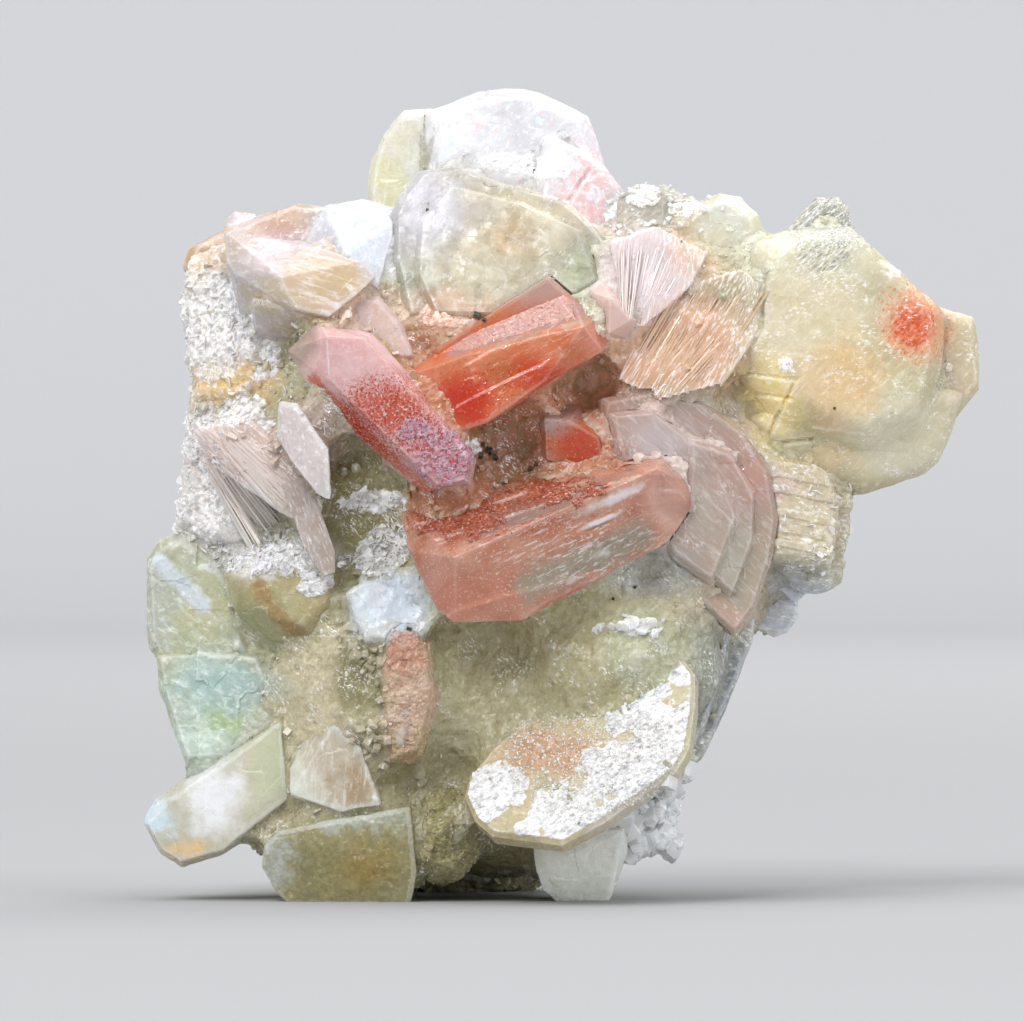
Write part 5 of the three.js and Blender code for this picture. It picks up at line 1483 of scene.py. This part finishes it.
def sow(name, seed_shape, carriers, count, sizes, keep, lean=0.5, seed=1):
    """Grows small crystals on the open faces of some pieces. keep(places, outs) picks where; sizes
    are the smallest and largest, in millimetres; lean is how far they tilt from upright."""
    rng = np.random.default_rng(seed)
    corners = triangles_of(carriers)
    ways = np.cross(corners[:, 1] - corners[:, 0], corners[:, 2] - corners[:, 0])
    areas = np.linalg.norm(ways, axis=1)
    outs = ways / np.maximum(areas, 1e-9)[:, None]
    share = areas * keep(corners.mean(axis=1), outs)
    picks = rng.choice(len(corners), count * 3, p=share / share.sum())
    mix = rng.dirichlet((1, 1, 1), len(picks))
    places = (corners[picks] * mix[:, :, None]).sum(axis=1)
    outs = outs[picks]
    free = []
    for i, (place, out) in enumerate(zip(places, outs)):
        if len(free) == count:
            break
        start = Vector(place + out * LIFT)
        if walls.ray_cast(start, Vector(out), ROOM)[0] is None:
            free.append(i)
    places, outs = places[free], outs[free]
    outs = unit(outs + lean * rng.normal(size=outs.shape))
    sides = unit(np.cross(outs, rng.normal(size=outs.shape)))
    size = sizes[0] + (sizes[1] - sizes[0]) * rng.beta(1.2, 3.0, len(free))
    places = places - outs * (size * ROOTED)[:, None]
    return planted(name, seed_shape, places, outs, sides, np.stack([size] * 3, axis=1))


def zone(x, z, wide, high):
    """Picks the faces in an oval as seen from the front."""
    def keep(places, outs):
        oval = ((places[:, 0] - x) / wide) ** 2 + ((places[:, 2] - z) / high) ** 2 < 1
        return oval & (outs[:, 1] < 0.3)
    return keep


def off_middle(places, outs):
    """Not in the smooth middle of the front, nor round the clear plates."""
    bare = np.zeros(len(places), bool)
    for x, z, wide, high in ((-2, 22, 16, 10), (-6, 65, 12.5, 9), (14, 41, 9, 11)):
        bare |= ((places[:, 0] - x) / wide) ** 2 + ((places[:, 2] - z) / high) ** 2 < 1
    return ~(bare & (places[:, 1] < 2))


def behind(places, outs):
    """In clumps on the back and the shaded sides."""
    return (places[:, 1] > 3) & (outs[:, 1] > -0.2) & (clouds(places, 9.0, 401) > 0.05)


mass_blocks = sow("mass_blocks", blocky, [mass], 420, (0.4, 1.5), off_middle, lean=0.7,
                  seed=101)
mass_tablets = sow("mass_tablets", tablet, [mass], 300, (0.5, 2.0), off_middle, lean=0.7,
                   seed=102)
fine_blocks = sow("fine_blocks", blocky, [mass, dome_grains, foot], 5200, (0.12, 0.5),
                  off_middle, lean=0.8, seed=103)
pocket_blocks = sow("pocket_blocks", blocky, [mass], 110, (0.4, 1.7),
                    zone(-20.8, 20.8, 4.4, 6.4), lean=0.8, seed=115)
back_tablets = sow("back_tablets", tablet, [mass], 300, (1.2, 4.6), behind, lean=0.5, seed=112)
back_blocks = sow("back_blocks", blocky, [mass], 420, (0.5, 2.6), behind, lean=0.6, seed=113)
back_flakes = sow("back_flakes", flake, [mass, back_right, back_plates, back_left], 420,
                  (0.5, 2.0), behind, lean=0.5, seed=114)
(Finish("small_crystals").ground("d6d2ba", "e4e2d4", 3.0, 0.75)
 .specks("f2f1ea", 0.6, 0.54, 0.66, 0.7)
 .surface(0.04, 0.3, 2.0)
 .depth(0.0).on(mass_blocks, mass_tablets, fine_blocks, pocket_blocks))
(Finish("back_crystals").ground("e8e6d8", "f2f0e8", 3.0, 0.4)
 .specks("ffffff", 0.6, 0.54, 0.66, 0.6)
 .surface(0.04, 0.3, 1.6)
 .depth(0.0).on(back_tablets, back_blocks))

flank_flakes = sow("flank_flakes", flake, [flank, mass], 420, (0.3, 1.3),
                   zone(-32, 47, 9, 18), lean=0.4, seed=104)
flank_grains = sow("flank_grains", blocky, [flank, mass], 420, (0.12, 0.5),
                   zone(-31, 45, 10, 17), lean=0.9, seed=105)
lens_flakes = sow("lens_flakes", flake, [lens, mass, green], 260, (0.3, 1.0),
                  zone(-28.6, 34.4, 7.5, 2.6), lean=0.6, seed=106)
pocket_flakes = sow("pocket_flakes", flake, [mass], 260, (0.4, 1.4),
                    zone(-18.4, 36.6, 3.6, 4.4), lean=0.6, seed=107)
druse = take("clear_druse", "clear_druse_face")
fine_mesh(druse, 0.24)
carve(druse, lambda at, out: 0.1 + 0.25 * grains(at, 1.2, 90))
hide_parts("clear_druse")
druse_points = sow("druse_points", blocky, [druse, edge, mass], 520, (0.6, 2.6),
                   zone(7.5, 9.0, 5.5, 7.0), lean=0.5, seed=108)
hex_grains = sow("hexagonal_plate_grains", blocky, [hexagonal], 1600, (0.1, 0.36),
                 zone(2.6, 14.6, 8.6, 5.4), lean=0.9, seed=109)
glints = sow("lower_plate_glints", flake, [lower_right, edge, fringe], 150, (0.3, 1.2),
             zone(24, 40, 5, 8), lean=0.7, seed=110)
crest_grains = sow("crest_grains", blocky, [crest, mass], 60, (0.3, 1.1),
                   zone(9, 68.4, 7, 3.0), lean=0.8, seed=111)
veil_tablets = sow("veil_tablets", tablet, [mass], 26, (0.5, 1.8),
                   zone(7.0, 27.0, 3.8, 1.4), lean=0.8, seed=116)
(Finish("white_druse").ground("f6f6fa", "ffffff", 1.6, 0.3)
 .surface(0.03, 0.25, 1.6)
 .depth(0.0)
 .on(flank_flakes, flank_grains, lens_flakes, pocket_flakes, hex_grains, glints, back_flakes))
(Finish("clear_druse").ground("f2f5f6", "ffffff", 1.6, 0.0)
 .surface(0.02, 0.2, 1.2, facets=0.1)
 .depth(0.3, 1.6, (1.0, 1.0, 1.0), clear=0.25).on(druse, druse_points, crest_grains, veil_tablets))


# ---- dark grains ----
# A few black grains of another mineral sit on the crust, in the pocket and here and there.


FAR_OUT = 80.0  # well clear of the cluster, in millimetres


def front_of(spot):
    """The first point of the cluster that is met from the front at (x, z), or None."""
    return walls.ray_cast(Vector((spot[0], -FAR_OUT, spot[1])), Vector((0, 1, 0)))[0]


dark_spots = np.array((
    (-8.6, 57.8, 1.0), (-7.9, 57.4, 0.6), (-7.4, 44.4, 1.0), (-8.3, 43.9, 0.8), (-6.8, 43.7, 0.7),
    (-8.0, 45.1, 0.6), (-3.4, 42.6, 0.7), (-2.8, 43.1, 0.6), (26.8, 48.7, 0.4), (11.6, 65.2, 0.5),
    (6.9, 31.0, 0.4), (4.8, 29.9, 0.4), (-15.2, 27.0, 0.7), (-3.0, 72.6, 0.4), (-13.6, 68.4, 0.4),
))  # (x, z, size), in millimetres
dark_hits = [front_of(spot[:2]) for spot in dark_spots]
dark_places = np.array([tuple(hit) for hit in dark_hits]) + (0, 0.1, 0)
dark_ways = unit(np.tile((0.0, -1.0, 0.4), (len(dark_spots), 1))
                 + 0.5 * swells(dark_places, 0.7, 150)[:, None])
dark_sides = unit(np.cross(dark_ways, (0.3, 0.2, 1.0)))
dark_grains = planted("dark_grains", blocky, dark_places, dark_ways, dark_sides,
                      dark_spots[:, 2:] * (0.9, 0.8, 0.8))
(Finish("dark_grains").ground("2c2e26", "565848", 0.5, 0.0)
 .surface(0.1, 0.4, 0.6)
 .depth(0.0).on(dark_grains))


# ---- fibrous sheaves ----
# Bundles of silky laths that fan out from a root: two on the right of the middle and one, with
# broader laths, on the left flank. Each rests on a block of the same fibres.


def fibre_block(node, across, along, seed):
    """A bundle of fibres with ragged ends."""
    piece = take(node, node + "_face")
    fine_mesh(piece, 0.22)
    way = np.array(along, float) / np.linalg.norm(along)

    def push(at, out):
        ends = np.clip(2.5 * (np.abs(out @ way) - 0.45), 0, 1)
        height = 0.1 + 0.06 * ridges(at, across, 0.4, seed, 0.6) + 0.2 * swells(at, 2.2, seed)
        return height - ends * (0.2 + 0.9 * ridges(at, across, 0.5, seed + 1, 0.4))

    carve(piece, push)
    mark_edges(piece)
    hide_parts(node)
    return piece


def sheaf(name, roots, tips, count, width, seed, lift):
    """Laths that run from the line of roots to the line of tips, each two points (x, z), over what
    lies under them. Each covers its own stretch of that way."""
    rng = np.random.default_rng(seed)
    roots, tips = np.array(roots, float), np.array(tips, float)
    starts, ways, lengths = [], [], []
    for i in range(count):
        share = np.clip((i + rng.uniform(-2, 2)) / count, 0, 1)
        root = roots[0] + (roots[1] - roots[0]) * share
        tip = tips[0] + (tips[1] - tips[0]) * share
        first, last = rng.uniform(0, 0.55), rng.uniform(0.62, 1.0)
        ends = [front_of(root + (tip - root) * part) for part in (first, last)]
        if ends[0] is None or ends[1] is None or abs(ends[0].y - ends[1].y) > 6:
            continue
        foot = np.array(ends[0]) + (0, -rng.uniform(-0.1, lift), 0)
        head = np.array(ends[1]) + (0, -rng.uniform(0.0, lift * 1.4), 0)
        starts.append(foot)
        ways.append(head - foot)
        lengths.append(np.linalg.norm(head - foot))
    starts, ways, lengths = np.array(starts), unit(np.array(ways)), np.array(lengths)
    faces_out = np.tile((0.0, -1.0, 0.0), (len(starts), 1)) + 0.35 * rng.normal(size=starts.shape)
    sides = unit(np.cross(faces_out, ways))
    wide = width * rng.uniform(0.5, 1.7, len(starts)) / 0.05
    sizes = np.stack([wide, wide * rng.uniform(0.8, 1.6, len(starts)), lengths], axis=1)
    return planted(name, lath, starts, ways, sides, sizes)


fan_block = fibre_block("fan_sheaf", (1, 0, -0.35), (0.3, 0.2, 1), 121)
long_block = fibre_block("long_sheaf", (-0.8, 0, 0.5), (0.5, 0.2, 0.86), 122)
left_block = fibre_block("striated_blades", (0.65, 0, 0.75), (0.75, 0, -0.65), 123)
solids += [fan_block, long_block, left_block, druse]
walls = walls_of(solids)
fan_laths = sheaf("fan_laths", ((5.6, 57.4), (8.4, 56.6)), ((5.0, 65.6), (13.8, 64.6)),
                  110, 0.12, 131, 0.0)
long_laths = sheaf("long_laths", ((5.6, 51.6), (14.0, 50.4)), ((10.8, 60.6), (20.6, 60.6)),
                   130, 0.12, 132, 0.0)
low_laths = sheaf("low_laths", ((6.4, 51.0), (12.6, 49.6)), ((11.0, 56.6), (18.6, 56.0)),
                  80, 0.12, 133, 0.0)
left_laths = sheaf("left_laths", ((-35.4, 49.0), (-36.6, 44.4)), ((-25.6, 40.6), (-30.6, 33.6)),
                   170, 0.14, 134, 0.08)
spear_base = np.array(front_of((-26.6, 41.6)))
spear_way = unit(np.array([[-23.4, spear_base[1] - 1.4, 32.8]]) - spear_base)
spear_tip = planted("spear_tip", tablet, spear_base[None] - (0, 0.2, 0), spear_way,
                    unit(np.cross(spear_way, ((0.0, -1.0, 0.3),))), np.array([[3.4, 3.0, 10.0]]))


def silky(name, along, first, second, *pieces):
    """Fine parallel fibres along one way: pale streaks, painted as their silky sheen, and darker streaks,
    painted as the shade between them.
    """
    (Finish(name).ground(first, second, 2.4, 0.8)
     .wisps("fffafa", along, 0.2, 0.65, 0.48, 0.62, stretch=16.0)
     .wisps("c8a592", along, 0.14, 0.18, 0.58, 0.70, shift=5.0, stretch=14.0)
     .edges("fff8f6", 0.2)
     .surface(0.12, 0.35, 1.4, bumps=((0.3, 0.02),))
     .depth(0.3, 2.0, (1.0, 0.85, 0.8)).on(*pieces))


silky("fan_fibres", (0.22, 0, 1), "e8dcdc", "dcc8ba", fan_block)
silky("long_fibres", (0.5, 0, 0.86), "c4a084", "b89070", long_block)
silky("left_fibres", (0.75, 0, -0.65), "dcccc4", "ccb8aa", left_block)
(Finish("spear_tip").ground("c8bab6", "b8a8a0", 1.6, 0.2)
 .wisps("ffffff", (0.35, 0, -0.95), 0.2, 0.8, stretch=9.0)
 .surface(0.08, 0.3, 1.4)
 .depth(0.4, 1.6, clear=0.25).on(spear_tip))
(Finish("silky_laths").ground("fbf4f4", "f6ece6", 2.4, 0.6)
 .surface(0.06, 0.3, 1.4)
 .depth(0.0).on(fan_laths, left_laths))
(Finish("warm_laths").ground("dcc0a6", "ceaa8a", 2.4, 0.4)
 .wisps("f4e6da", (0.5, 0, 0.86), 0.2, 0.6, stretch=9.0)
 .surface(0.06, 0.3, 1.4)
 .depth(0.0).on(long_laths, low_laths))
